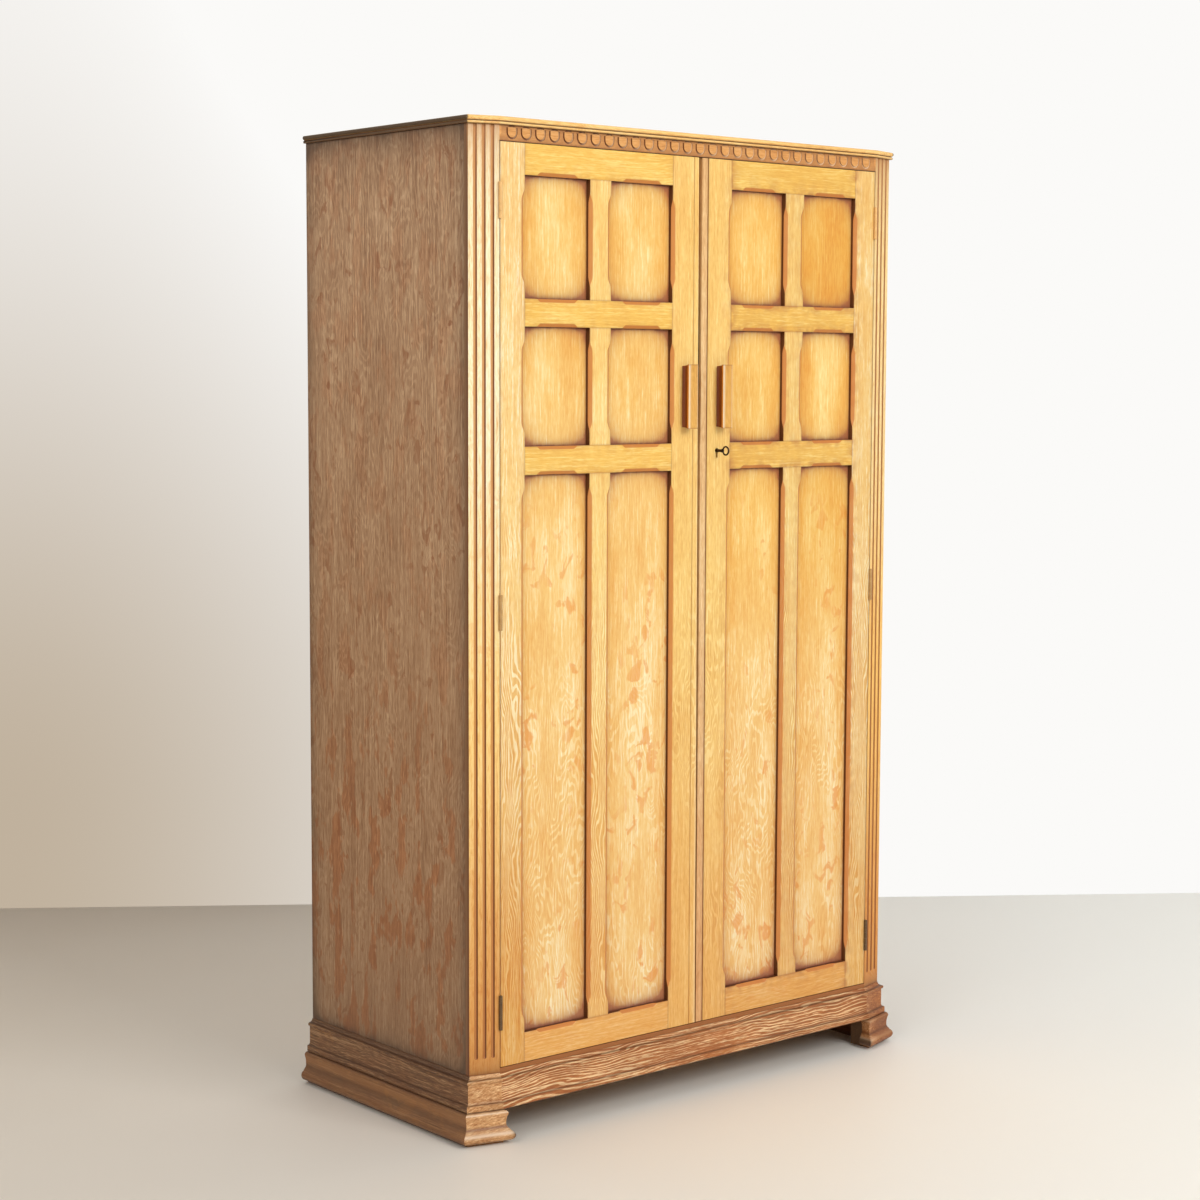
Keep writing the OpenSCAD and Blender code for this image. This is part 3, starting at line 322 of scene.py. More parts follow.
class WardrobeSettings(bpy.types.PropertyGroup):
    """Sizes and colours that a user would change."""
    arris: FloatProperty(name="Softened arris", description="Width of the wood's softened edges",
                         default=0.0007, min=0.0001, max=0.003, unit="LENGTH", precision=4)
    key_light: FloatProperty(name="Main lamp", description="Power of the soft lamp at the front",
                             default=117.0, min=0, unit="POWER")
    soft_light: FloatProperty(name="Side lamp", description="Power of the soft lamp at the left",
                              default=66.0, min=0, unit="POWER")
    daylight: FloatProperty(name="Daylight", description="Strength of the light from all round",
                            default=0.45, min=0, max=2)
    gold: FloatVectorProperty(name="Panel oak", description="Middle tone of the door panels",
                              subtype="COLOR", size=4, min=0, max=1, default=colour(244, 203, 128))
    side: FloatVectorProperty(name="Side oak", description="Middle tone of the side panels",
                              subtype="COLOR", size=4, min=0, max=1, default=colour(186, 144, 106))
    wall: FloatVectorProperty(name="Wall", description="Colour of the backdrop", subtype="COLOR",
                              size=4, min=0, max=1, default=colour(251, 250, 248))
    floor: FloatVectorProperty(name="Floor", description="Colour of the floor", subtype="COLOR",
                               size=4, min=0, max=1, default=colour(250, 249, 243))


def settings():
    """The wardrobe's sizes and colours in this scene."""
    return bpy.context.scene.wardrobe


def link(thing):
    """Puts an object in the scene."""
    bpy.context.scene.collection.objects.link(thing)
    return thing


def give(piece, material):
    """Puts one material in every slot of a piece."""
    piece.data.materials.clear()
    piece.data.materials.append(material)


def name_boards(mesh, label=None):
    """Marks each separate board of a mesh with a number of its own, for its grain.

    The number is drawn from label, or else from the middle of the board.
    """
    layer = mesh.verts.layers.float.new("board")
    waiting = set(mesh.verts)
    while waiting:
        board = {waiting.pop()}
        rim = list(board)
        while rim:
            for edge in rim.pop().link_edges:
                for vert in edge.verts:
                    if vert in waiting:
                        waiting.discard(vert)
                        board.add(vert)
                        rim.append(vert)
        # A set gives its corners in no lasting order, and only an exact sum doesn't mind
        x, z = (math.fsum(vert.co[axis] for vert in board) / len(board) for axis in (0, 2))
        mark = random.Random(label or "%.2f %.2f" % (x, z)).random()
        for vert in board:
            vert[layer] = mark


def wooden(name, material, width=None, label=None):
    """A wooden node with softened arrises and a finish, standing in the node's place."""
    node = NODES[name]
    mesh = bmesh.new()
    mesh.from_mesh(node.data)
    bmesh.ops.remove_doubles(mesh, verts=mesh.verts, dist=1e-6)
    bmesh.ops.dissolve_limit(mesh, angle_limit=math.radians(1), verts=mesh.verts, edges=mesh.edges)
    name_boards(mesh, label)
    arrises = [edge for edge in mesh.edges
               if len(edge.link_faces) == 2 and edge.calc_face_angle(0) > math.radians(30)]
    bmesh.ops.bevel(mesh, geom=arrises, offset=width or settings().arris, offset_type="OFFSET",
                    affect="EDGES", segments=2, profile=0.5, clamp_overlap=True, material=-1)
    facing = mesh.faces.layers.float.new("facing")
    for face in mesh.faces:
        face.smooth = True
        face[facing] = abs(face.normal.y)
    made = bpy.data.meshes.new(name + "_wood")
    mesh.to_mesh(made)
    mesh.free()
    made.set_sharp_from_angle(angle=math.radians(20))
    piece = link(bpy.data.objects.new(name + "_wood", made))
    give(piece, material)
    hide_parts(name)
    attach(piece, node["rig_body"])
    return piece


def varnish_and_low_shade(f, wood, top=(253, 248, 234), foot=(248, 232, 216), high=1.7):
    """The varnish has yellowed towards the top; towards the floor the wood is darkened as painted
    shade.
    """
    wood = f.multiply_tint(f.z.ramp(0.7, high), wood, colour(*top))
    return f.multiply_tint(f.z.ramp(1.0, 0.2), wood, colour(*foot))


def frame_shade(lines_x, lines_z, worn=0.0, foot=(246, 228, 218), top=(254, 249, 240),
                edge_x=None):
    """Browner chamfers, square inner edges and the gap between the doors darkened as painted shade,
    dark lines along a piece's own joints, and worn toning.

    lines_x and lines_z are the edges of the panels beside the piece, and edge_x an outer edge with
    a dark joint line deepened as painted shade. foot tints the lower end of the door darker as
    painted shade, and top tints its upper end.
    """
    def shade(f, wood):
        depth = f.y - FACE_Y
        wood = varnish_and_low_shade(f, wood, top, foot)
        near = f.nearest(f.x, lines_x)
        if lines_z:
            near = near.least(f.nearest(f.z, lines_z))
        cloud = f.noise(f.vector(f.x * 40, 0.0, f.z * 40), 2).ramp(0.35, 0.65)
        wood = f.mix(near.fade(0.012) * cloud * worn, wood, colour(186, 122, 70))
        wood = f.mix(near.fade(0.0011) * 0.5, wood, colour(150, 88, 52))
        # Painted shade: a dark joint line along the outer edge, deepened where the gap beside it
        # lies in shade
        if edge_x is not None:
            wood = f.mix(abs(f.x - edge_x).fade(0.0014) * 0.85, wood, colour(124, 62, 28))
        front = 1 - depth.ramp(*FRONT_ENDS)
        beside = (1 - near.ramp(0.0095, 0.0105)) * front
        wood = f.mix(beside * depth.ramp(0.0004, 0.0014) * 0.85, wood, colour(200, 122, 58))
        # Painted shade: beside a panel, the square edge below the chamfer is darker still, as if in
        # shadow
        square_edge_shade = (1 - f.facing.ramp(0.1, 0.4)) * depth.ramp(0.0006, 0.0012)
        wood = f.mix(beside * square_edge_shade * 0.9, wood, colour(74, 38, 16))
        # Painted shade: the faces in the gap between the doors are darkened, most of all high up
        gap_shade = depth.ramp(0.0004, 0.0012) * front
        gap_shade = gap_shade * (1 - abs(f.x - DOORS_MEET).ramp(0.0018, 0.0026))
        gap_shade = gap_shade * (0.35 + f.z.ramp(0.9, 1.3) * 0.65)
        return f.mix(gap_shade * 0.95, wood, colour(34, 20, 10))
    return shade


def panel_shade(side):
    """Toned edges round each panel, with dirt and painted shade along its edges and in its corners,
    and a line of painted shade where it meets the frame.
    """
    edges_x = [x for bay in bays(side) for x in bay]
    edges_z = [z for row in ROWS for z in row]

    def shade(f, wood):
        dx = f.nearest(f.x, edges_x)
        dz = f.nearest(f.z, edges_z)
        wander = f.noise(f.vector(f.x * 70, 0.0, f.z * 70 + f.board * 9), 3, 0.6)
        # Dirt and painted shade: darker along the panel's edges, most of all in its corners and in
        # the lower panels
        dirt_and_shade = dx.fade(0.0045) * 0.5 + dz.fade(0.0075) * 0.75 + (dx + dz).fade(0.02) * 1.9
        dirt_and_shade = dirt_and_shade + (dz.fade(0.013) * 0.5 + dx.fade(0.012) * 0.25) * f.z.ramp(0.6, 0.25)
        dirt_and_shade = (dirt_and_shade * (0.5 + wander)).held()
        cloud = f.noise(f.vector(f.x * 15, 0.0, f.z * 11 + f.board * 7), 3, 0.6).ramp(0.48, 0.66)
        cloud = cloud * f.z.ramp(0.85, 1.25) * 0.45
        wood = f.multiply_tint(cloud, wood, colour(252, 236, 204))
        if side == "left":
            wood = varnish_and_low_shade(f, wood, (252, 246, 222), (253, 250, 252))
        else:
            wood = varnish_and_low_shade(f, wood, (252, 242, 208), (251, 245, 244), high=1.15)
        # Gold along the edges, paler in the middle
        rim = 1 - (dx + (wander - 0.5) * 0.03).ramp(0.004, 0.045)
        wood = f.multiply_tint(rim * 0.5, wood, colour(250, 226, 178))
        # The right-hand panels have turned the warmest
        warm = f.z.ramp(ROWS[2][0] - 0.02, ROWS[2][0]) * 0.6
        warm = warm + f.z.ramp(0.75, 1.1) * (1 - f.z.ramp(ROWS[0][1], ROWS[1][0])) * 0.35
        warm = warm * f.x.ramp(0.24, 0.26) + f.board * 0.04
        wood = f.multiply_tint(warm, wood, colour(240, 218, 160))
        wood = f.mix(dirt_and_shade * 0.85, wood, colour(162, 90, 64))
        # Painted shade: a dark line where the panel meets the frame, wider along the rails
        line = (dx.fade(0.0014) * 0.7).most(dz.fade(0.0026) * (0.35 + wander))
        return f.mix(line.held(), wood, colour(92, 44, 40))
    return shade


class WARDROBE_OT_doors(bpy.types.Operator):
    """Finishes the stiles, rails, muntins and meeting bead of both doors"""
    bl_idname = "wardrobe.doors"
    bl_label = "Door frames"

    def execute(self, context):
        rows = [z for row in ROWS for z in row]
        low_down = (0.14, 1.12)
        for side in SIDES:
            openings = bays(side)
            inner = sorted((openings[0][0], openings[1][1]), key=abs)
            worn = 0.3 if side == "left" else 0.75
            age = 1.0 if side == "left" else 0.97
            brown = (234, 202, 160) if side == "left" else (244, 224, 196)
            yellowed = (253, 251, 252) if side == "left" else (252, 244, 228)
            outer = (-1 if side == "left" else 1) * abs(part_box("left_hinge_stile")[0].x)
            hinge = oak(side + "_hinge_stile_oak", "Z", darker(255, 244, 204, age),
                        darker(245, 208, 134, age), darker(228, 168, 92, age), streak=0.4,
                        fleck=0.2, figure=0.62, figured=low_down, wild=22, pitch=220, lime=0.32,
                        seed=3.1,
                        shade=frame_shade([inner[1]], [], worn, brown, yellowed, outer))
            meeting = oak(side + "_meeting_stile_oak", "Z", colour(254, 230, 162),
                          colour(241, 199, 116), colour(222, 162, 84), streak=0.4, fleck=0.15,
                          figure=0.3, figured=(0.2, 1.0), lime=0.15, seed=8.7,
                          shade=self.meeting_shade(side, inner[0], worn * 0.6))
            beside = [openings[0][1], openings[1][0]]
            muntin = oak(side + "_muntin_oak", "Z", darker(254, 238, 180, age),
                         darker(243, 205, 124, age), darker(226, 162, 82, age), streak=0.35,
                         fleck=0.15, figure=0.62, figured=low_down, wild=20, pitch=240,
                         lime=0.15, seed=5.3, shade=frame_shade(beside, rows, worn * 0.6))
            rail = oak(side + "_rail_oak", "X", darker(254, 229, 152, age),
                       darker(240, 191, 96, age), darker(224, 160, 72, age), streak=0.32,
                       fleck=0.15, figure=0.1, wild=12, lime=0.15, seed=1.9,
                       shade=frame_shade(inner, rows, worn, (246, 228, 240), (255, 255, 246)))
            wooden(side + "_hinge_stile", hinge)
            wooden(side + "_meeting_stile", meeting)
            wooden(side + "_muntins", muntin)
            for name in RAILS:
                wooden("%s_%s_rail" % (side, name), rail)
        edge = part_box("meeting_bead")
        bead = oak("meeting_bead_oak", "Z", colour(252, 226, 176), colour(230, 188, 132),
                   colour(204, 148, 94), streak=0.5, fleck=0.1, figure=0.05,
                   shade=frame_shade([edge[1].x], [], 0.3, edge_x=edge[1].x), seed=6.2)
        wooden("meeting_bead", bead)
        return {"FINISHED"}

    def meeting_shade(self, side, inner, worn):
        """The left door's meeting stile has a quirk along its edge, darkened with painted shade,
        and is worn pale beyond it.
        """
        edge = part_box("left_meeting_stile")[1].x
        quirk_in = 0.0156
        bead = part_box("meeting_bead")[1].x
        frame_tone = frame_shade([inner], [], worn, edge_x=bead if side == "right" else None)

        def shade(f, wood):
            wood = frame_tone(f, wood)
            # Painted shade in the quirk
            quirk = abs(f.x - (edge - quirk_in)).fade(0.0009)
            wear_and_highlight = (edge - f.x).ramp(0.0065, 0.003) if side == "left" else quirk * 0
            wood = f.mix(wear_and_highlight * 0.3, wood, colour(255, 232, 190))
            return f.mix(quirk * 0.7, wood, colour(166, 96, 44))
        return shade if side == "left" else frame_tone


class WARDROBE_OT_panels(bpy.types.Operator):
    """Finishes the twelve door panels"""
    bl_idname = "wardrobe.panels"
    bl_label = "Door panels"

    def execute(self, context):
        for side in SIDES:
            panel = oak(side + "_panel_oak", "Z", colour(255, 246, 206), settings().gold,
                        colour(230, 164, 84), streak=0.3, fleck=0.66, figure=0.25,
                        figured=(0.1, 0.85), broad=0.52, shade=panel_shade(side),
                        flake=(234, 154, 70), flake_top=1.25, lime=0.16, seed=2.4)
            wooden(side + "_panels", panel, 0.0003)
        return {"FINISHED"}


class WARDROBE_OT_pilasters(bpy.types.Operator):
    """Finishes the fluted corners"""
    bl_idname = "wardrobe.pilasters"
    bl_label = "Pilasters"

    def execute(self, context):
        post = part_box("right_pilaster")
        # Behind its cant the pilaster runs straight back, up to the side panel
        straight = 0.011
        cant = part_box("right_side_panel")[0].y - FACE_Y - straight
        slope = math.atan2(cant, HALF_WIDTH - PILASTER_IN)
        middle = math.hypot(cant, HALF_WIDTH - PILASTER_IN) / 2
        pitch = 0.016

        def shade(f, wood):
            out, back = abs(f.x) - PILASTER_IN, f.y - FACE_Y
            depth = back * math.cos(slope) - out * math.sin(slope)
            beside = out * math.cos(slope) + back * math.sin(slope) - middle
            beside = ((beside / pitch + 0.5).fraction() - 0.5) * pitch
            inside = depth.ramp(0.0002, 0.0008) * (1 - abs(beside).ramp(0.0042, 0.0046))
            right = (f.x * 100).held()
            inner = beside * (right * 2 - 1)
            wood = f.multiply_tint(right, wood, colour(254, 240, 210))
            # Paler high up; towards the bottom browner and darker, partly as painted shade
            ragged_height = f.z + 0.1 * f.noise(f.vector(f.x * 90, f.y * 90, f.z * 4), 1)
            low = ragged_height.ramp(0.85, 0.2)
            wood = f.multiply_tint(ragged_height.ramp(1.35, 0.8), wood, colour(255, 231, 184))
            wood = f.multiply_tint(low * 0.85, wood, colour(220, 177, 142))
            # Painted shade: the inside of each flute is browner, and darker still towards one rim
            flute_shade = f.mix(low, colour(208, 140, 72), colour(190, 122, 66))
            wood = f.mix(inside * 0.85, wood, flute_shade)
            shadow = inner.ramp(0.0002, 0.0022) * (0.9 - right * 0.3)
            wood = f.mix(inside * shadow, wood, colour(104, 54, 26))
            wander = f.noise(f.vector(f.x * 160, f.y * 160, f.z * 14), 2)
            top = ((post[1].z - f.z) * (0.6 + wander * 0.8)).fade(0.06)
            wood = f.mix(top * 0.8, wood, colour(186, 128, 76))
            wood = f.mix(depth.ramp(0.0034, 0.0042) * 0.85, wood, colour(124, 88, 60))
            # Dirt and painted shade where the pilaster meets the plinth
            foot = (f.z - PLINTH_TOP).fade(0.035) * 0.5 + (f.z - PLINTH_TOP).fade(0.004) * 0.4
            return f.mix(foot, wood, colour(112, 66, 38))
        fluted = oak("pilaster_oak", "Z", colour(255, 249, 226), colour(250, 230, 180),
                     colour(226, 176, 110), streak=0.5, fleck=0.2, figure=0.1, shade=shade,
                     seed=4.4)
        for side in SIDES:
            wooden(side + "_pilaster", fluted, 0.0005)
        return {"FINISHED"}


class WARDROBE_OT_sides(bpy.types.Operator):
    """Finishes the side panels"""
    bl_idname = "wardrobe.sides"
    bl_label = "Side panels"

    def execute(self, context):
        low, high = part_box("right_side_panel")

        def shade(f, wood):
            patch = f.noise(f.vector(0.0, f.y * 24, f.z * 10), 4, 0.6).ramp(0.52, 0.57)
            patch = patch * (0.2 + f.z.ramp(1.0, 0.4) * 0.5)
            wood = f.multiply_tint(patch, wood, colour(240, 178, 126))
            # Dirt and painted shade: darker towards the bottom
            wood = f.mix((high.z - f.z).ramp(0.0, 1.7) * 0.42, wood, colour(140, 96, 58))
            wander = f.noise(f.vector(0.0, f.y * 24, f.z * 24), 2) + 0.5
            # Dirt and painted shade: darker under the top board, along the front and back edges and
            # near the floor
            dirt_and_shade = (high.z - f.z).fade(0.03) * 0.8 + (f.y - low.y).fade(0.016) * 0.6
            dirt_and_shade = dirt_and_shade + (high.y - f.y).fade(0.02) * 0.6 + (f.z - low.z).fade(0.012) * 0.6
            dirt_and_shade = dirt_and_shade + (f.z - low.z).fade(0.2) * 0.34
            return f.mix((dirt_and_shade * wander).held() * 0.85, wood, colour(70, 52, 38))
        side = oak("side_oak", "Z", colour(222, 184, 144), settings().side, colour(146, 104, 72),
                   streak=0.55, fleck=0.6, figure=0.2, wild=24, pitch=150, broad=0.35, shade=shade,
                   flake=(150, 90, 50), lime=0.2, seed=9.5)
        for name in SIDES:
            wooden(name + "_side_panel", side)
        return {"FINISHED"}


class WARDROBE_OT_top(bpy.types.Operator):
    """Finishes the top board and the carved frieze"""
    bl_idname = "wardrobe.top"
    bl_label = "Top board and frieze"

    def execute(self, context):
        groove_z = TOP_HIGH - 0.0089

        def board_shade(f, wood):
            # Painted shade in the groove and along the board's lower edge
            groove = 1 - abs(f.z - groove_z).ramp(0.0006, 0.0012)
            low = (f.z - TOP_LOW).fade(0.0012)
            reach = 1 - (f.z - (TOP_HIGH - 0.0004)).ramp(0, 0.0003)
            ends = (abs(f.x) - HALF_WIDTH).ramp(0.002, 0.006)
            wood = f.mix(ends * 0.95, wood, colour(70, 52, 40))
            return f.mix((groove * 0.9 + low * 0.85).held() * reach, wood, colour(92, 46, 20))
        board = oak("top_oak", "X", colour(254, 226, 160), colour(248, 198, 120),
                    colour(200, 136, 72), streak=0.4, fleck=0.3, figure=0.2, shade=board_shade,
                    shine=0.6, seed=7.7)
        wooden("top_board", board, 0.0004)

        low, high = (corner.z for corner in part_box("frieze"))
        # The carved tongues: their spacing, half width, length and distance from the top
        pitch, half, length, down = 0.0314, 0.009, 0.0165, 0.004
        centre = high - down - length + half

        def frieze_shade(f, wood):
            depth = f.y - FACE_Y
            beside = ((f.x / pitch + 0.5).fraction() - 0.5) * pitch
            under = (f.z - centre).least(0)
            reach = (beside * beside + under * under).power(0.5)
            tongue = 1 - reach.ramp(half - 0.0012, half)
            cloud = f.noise(f.vector(f.x * 50, 0.0, f.z * 90), 2).ramp(0.3, 0.7)
            wood = f.mix((1 - tongue) * (0.45 + cloud * 0.4), wood, colour(178, 120, 68))
            # Painted light: the grooves are darkened as painted shade towards the left and made
            # pale as a painted highlight towards the right
            wear_and_highlight = (f.x * 1.2 + beside * 50 + 0.45).held()
            cut = f.mix(wear_and_highlight, colour(104, 56, 34), colour(230, 196, 156))
            wood = f.mix(depth.ramp(0.0003, 0.0014) * 0.85, wood, cut)
            edge = (f.z - low).fade(0.0016) + (high - f.z).fade(0.002)
            return f.mix(edge.held() * 0.8, wood, colour(96, 54, 30))
        carved = oak("frieze_oak", "X", colour(240, 188, 122), colour(218, 154, 86),
                     colour(180, 114, 58), streak=0.4, fleck=0.1, figure=0.05,
                     shade=frieze_shade, seed=1.2)
        # Its middle is at x = 0, so the side its grain is drawn for is set here
        wooden("frieze", carved, 0.0005, label="-0.00 1.77")
        return {"FINISHED"}


class WARDROBE_OT_plinth(bpy.types.Operator):
    """Finishes both tiers of the plinth"""
    bl_idname = "wardrobe.plinth"
    bl_label = "Plinth and feet"

    def execute(self, context):
        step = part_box("left_foot")[1].z
        inner_end = -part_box("left_foot")[1].x
        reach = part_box("apron")[0].y
        # Heights of the foot's roll and of the hollow over it
        roll, hollow = 0.0205, 0.0305

        def shade(f, wood):
            # Dark lines at the step between the tiers and in the creases of the mould: a dark joint
            # and painted shade
            lines = f.nearest(f.z, [step, PLINTH_TOP - 0.0068, step + 0.0125])
            cloud = f.noise(f.vector(f.x * 14, f.y * 14, f.z * 60), 2).ramp(0.35, 0.65)
            wood = f.mix(cloud * 0.25, wood, colour(128, 78, 44))
            wood = f.mix(lines.fade(0.0014) * 0.7, wood, colour(64, 38, 22))
            # Two dark lines run along the top of the mould, under the doors
            back = f.y - reach
            under = back.ramp(-0.001, 0.001) * (PLINTH_TOP - f.z).fade(0.0006)
            grooves = f.nearest(back, [0.0052, 0.0112]).fade(0.0009)
            wood = f.mix(under * 0.4, wood, colour(168, 106, 58))
            wood = f.mix(under * grooves * 0.85, wood, colour(84, 46, 20))
            # Dirt and painted shade in the crease under the side panel
            aside = (abs(f.x) - HALF_WIDTH + 0.002).ramp(0.0, 0.004)
            wood = f.mix((PLINTH_TOP - f.z).fade(0.006) * aside * 0.85, wood, colour(70, 46, 30))
            # The right-hand end has kept a darker stain
            wood = f.multiply_tint(f.x.ramp(0.42, 0.5), wood, colour(210, 172, 132))
            # Painted shade: the bottom few millimetres, next to the floor, are darker
            return f.mix((f.z - 0.004).most(0).fade(0.004) * 0.5, wood, colour(60, 38, 22))

        def base_shade(f, wood):
            """Painted shade in the hollow over the foot's roll, and a painted highlight in a band
            above it.
            """
            wood = f.mix((f.z - 0.031).power(2).fade(0.00004) * 0.5, wood, colour(90, 66, 46))
            wood = f.mix((f.z - 0.047).power(2).fade(0.00006) * 0.4, wood, colour(180, 124, 74))
            return shade(f, wood)

        def foot_shade(f, wood):
            """A painted highlight with wear, pale along the roll and the top edge; painted shade in
            the hollow and on the inner end.
            """
            wear_and_highlight = (f.z - roll).power(2).fade(0.00001) + abs(f.z - step + 0.0035).fade(0.0015)
            wood = f.mix((f.z - hollow).power(2).fade(0.00001) * 0.7, wood, colour(104, 62, 36))
            wood = f.mix(wear_and_highlight * 0.75, wood, colour(252, 224, 190))
            wood = shade(f, wood)
            # Painted shade on the foot's inner end, below the step
            inside = abs(abs(f.x) - inner_end).fade(0.004) * (1 - f.z.ramp(step - 0.001, step))
            wood = f.mix((inside * 1.3).held() * 0.85, wood, colour(52, 34, 24))
            dark = f.x.ramp(0.47, 0.51) * (1 - f.z.ramp(step - 0.001, step)) * 0.4
            return f.mix(dark, wood, colour(120, 68, 34))

        def limed(name, grain, pale, gold, deep, seed, figure, finish, streak=0.6):
            """The plinth's darker oak, with pale open pores and long rings."""
            return oak(name, grain, pale, gold, deep, streak=streak, fleck=0.1, figure=figure,
                       wild=11, pitch=190, broad=0.3, shade=finish, lime=0.3, seed=seed)
        apron = limed("apron_oak", "X", colour(250, 214, 162), colour(188, 118, 66),
                      colour(158, 92, 48), 2.2, 0.62, shade, 0.5)
        sides = limed("plinth_side_oak", "Y", colour(166, 126, 88), colour(124, 86, 54),
                      colour(92, 60, 38), 5.8, 0.25, shade, 0.8)
        base = limed("base_side_oak", "Y", colour(158, 114, 74), colour(132, 90, 54),
                     colour(104, 66, 38), 7.1, 0.1, base_shade, 0.5)
        feet = limed("foot_oak", "X", colour(244, 202, 150), colour(212, 157, 103),
                     colour(164, 104, 60), 8.1, 0.2, foot_shade)
        wooden("apron", apron, 0.0006)
        for side in SIDES:
            wooden(side + "_plinth_side", sides)
            wooden(side + "_base_side", base)
            wooden(side + "_plinth_corner", feet)
            wooden(side + "_foot", feet)
        return {"FINISHED"}


class WARDROBE_OT_handles(bpy.types.Operator):
    """Finishes the two wooden handles"""
    bl_idname = "wardrobe.handles"
    bl_label = "Handles"

    def execute(self, context):
        low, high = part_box("left_handle")
        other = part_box("right_handle")
        sides = [low.x, high.x, other[0].x, other[1].x]

        def shade(f, wood):
            back = f.y - low.y
            # Painted highlight along the rounded arrises
            arris = f.nearest(f.x, sides).fade(0.0014) * (1 - back.ramp(0.0012, 0.003))
            wood = f.mix((arris * 1.4).held(), wood, colour(255, 244, 216))
            wood = f.multiply_tint(back.ramp(0.002, 0.0035), wood, colour(250, 214, 160))
            # Painted shade: dark lines at the handle's ends
            ends = f.nearest(f.z, [low.z, high.z]).fade(0.0012)
            wood = f.mix(ends * 0.8, wood, colour(150, 82, 40))
            # Dark finish and painted shade in the finger recess under the bar
            return f.mix(back.ramp(0.0065, 0.0085) * 0.95, wood, colour(122, 54, 4))
        handle = oak("handle_oak", "Z", colour(236, 186, 104), colour(219, 161, 76),
                     colour(184, 120, 50), streak=0.35, fleck=0.1, figure=0.1, shade=shade,
                     shine=0.3, seed=3.9)
        for side in SIDES:
            wooden(side + "_handle", handle, 0.0008)
        return {"FINISHED"}


def metal(name, bright, dull, rough, metal=0.9, varnish=None):
    """Old metal: bright where it is rubbed, dull in patches, with fine scratches.

    varnish is the colour that the doors' varnish has left on the knuckles high up. Low down they
    are darker.
    """
    f = Finish(name)
    patch = f.noise(f.vector(f.x * 90, f.y * 90, f.z * 90), 3, 0.6).ramp(0.3, 0.7)
    scratch = f.noise(f.vector(f.x * 700, f.y * 700, f.z * 500), 2)
    tint = f.mix(0.2 + patch * 0.4 + scratch * 0.2, bright, dull)
    if varnish:
        front = (f.y - FACE_Y).ramp(0.002, 0.0)
        tint = f.mix((1 - f.z.ramp(0.3, 1.2)) * front * 0.85, tint, colour(58, 42, 30))
        tint = f.mix((f.z.ramp(0.5, 1.5) * 0.75 + 0.05) * front, tint, varnish)
    return f.done(tint, rough + 0.25 * (patch - 0.4), scratch, 0.1, 0.0003, metal=metal)


class WARDROBE_OT_fittings(bpy.types.Operator):
    """Finishes the hinges, lock, key, bolts and screws"""
    bl_idname = "wardrobe.fittings"
    bl_label = "Metal fittings"

    def execute(self, context):
        brass = metal("old_brass", colour(206, 160, 100), colour(96, 62, 34), 0.42, 0.3,
                      varnish=colour(232, 184, 116))
        fitting = metal("lock_brass", colour(222, 180, 116), colour(150, 108, 62), 0.38)
        steel = metal("screw_steel", colour(150, 146, 138), colour(84, 78, 70), 0.4)
        iron = metal("dark_iron", colour(74, 56, 42), colour(34, 26, 22), 0.42)
        for name in ("carcass_hinge_leaves", "hinge_pins", "left_hinge_leaves",
                     "right_hinge_leaves"):
            give(NODES[name], brass)
        for name in ("bolt_keeps", "left_bolt_cases", "left_top_bolt", "left_bottom_bolt",
                     "strike_plate", "lock_case", "lock_bolt", "key_drum", "rail_sockets"):
            give(NODES[name], fitting)
        for name in ("carcass_screws", "left_door_screws", "right_door_screws"):
            give(NODES[name], steel)
        give(NODES["key"], iron)
        return {"FINISHED"}


class WARDROBE_OT_interior(bpy.types.Operator):
    """Finishes the inside of the carcass, the back and the plinth's framing"""
    bl_idname = "wardrobe.interior"
    bl_label = "Inside and back"

    def execute(self, context):
        def edge_shade(f, wood):
            """The front edges between the doors and the plinth are stained, with painted shade in a
            line just under the doors.
            """
            front = 1 - (f.y - FACE_Y).ramp(0.004, 0.02)
            wood = f.mix(front, wood, colour(160, 100, 54))
            # Painted shade just under the bottom of the doors
            below = (f.z - DOOR_BOTTOM).ramp(-0.0022, -0.0002) * (1 - f.z.ramp(0.2, 0.3))
            return f.mix(below * front, wood, colour(60, 36, 20))
        inner = [oak("inner_wood_" + grain, grain, colour(222, 190, 148), colour(200, 160, 114),
                     colour(164, 120, 80), streak=0.35, fleck=0.1, figure=0.2, shade=edge_shade,
                     shine=0.55, seed=6.6)
                 for grain in ("X", "Z")]
        framing = oak("framing_wood", "X", colour(132, 98, 66), colour(104, 74, 48),
                      colour(78, 52, 34), streak=0.35, fleck=0.0, figure=0.1, shine=0.6, seed=2.9)
        ply = oak("plywood", "Z", colour(206, 172, 132), colour(184, 146, 104),
                  colour(154, 112, 76), streak=0.3, fleck=0.0, figure=0.16, broad=0.4, shine=0.6,
                  seed=4.8)
        rail = oak("rail_wood", "X", colour(226, 182, 122), colour(198, 146, 88),
                   colour(160, 108, 62), streak=0.3, fleck=0.0, figure=0.1, shine=0.35, seed=9.9)
        for name in ("top_rails", "bottom_board", "door_stops", "hat_shelf", "shelf_cleats"):
            wooden(name, inner[0])
        wooden("plinth_framing", framing)
        wooden("rear_posts", inner[1])
        # Its middle is 0.7 nanometres from x = 0, so the side its grain is drawn for is set here
        wooden("back_panel", ply, label="-0.00 0.96")
        wooden("hanging_rail", rail)
        return {"FINISHED"}


def lamp(name, place, aim, size, power, tint=(1.0, 1.0, 1.0)):
    """A soft rectangular lamp that shines from a place towards a point."""
    data = bpy.data.lights.new(name, "AREA")
    data.shape = "RECTANGLE"
    data.size, data.size_y = size
    data.energy = power
    data.color = tint
    made = link(bpy.data.objects.new(name, data))
    place = Vector(place)
    made.location = place
    made.rotation_mode = "QUATERNION"
    made.rotation_quaternion = (Vector(aim) - place).to_track_quat("-Z", "Y")
    return made


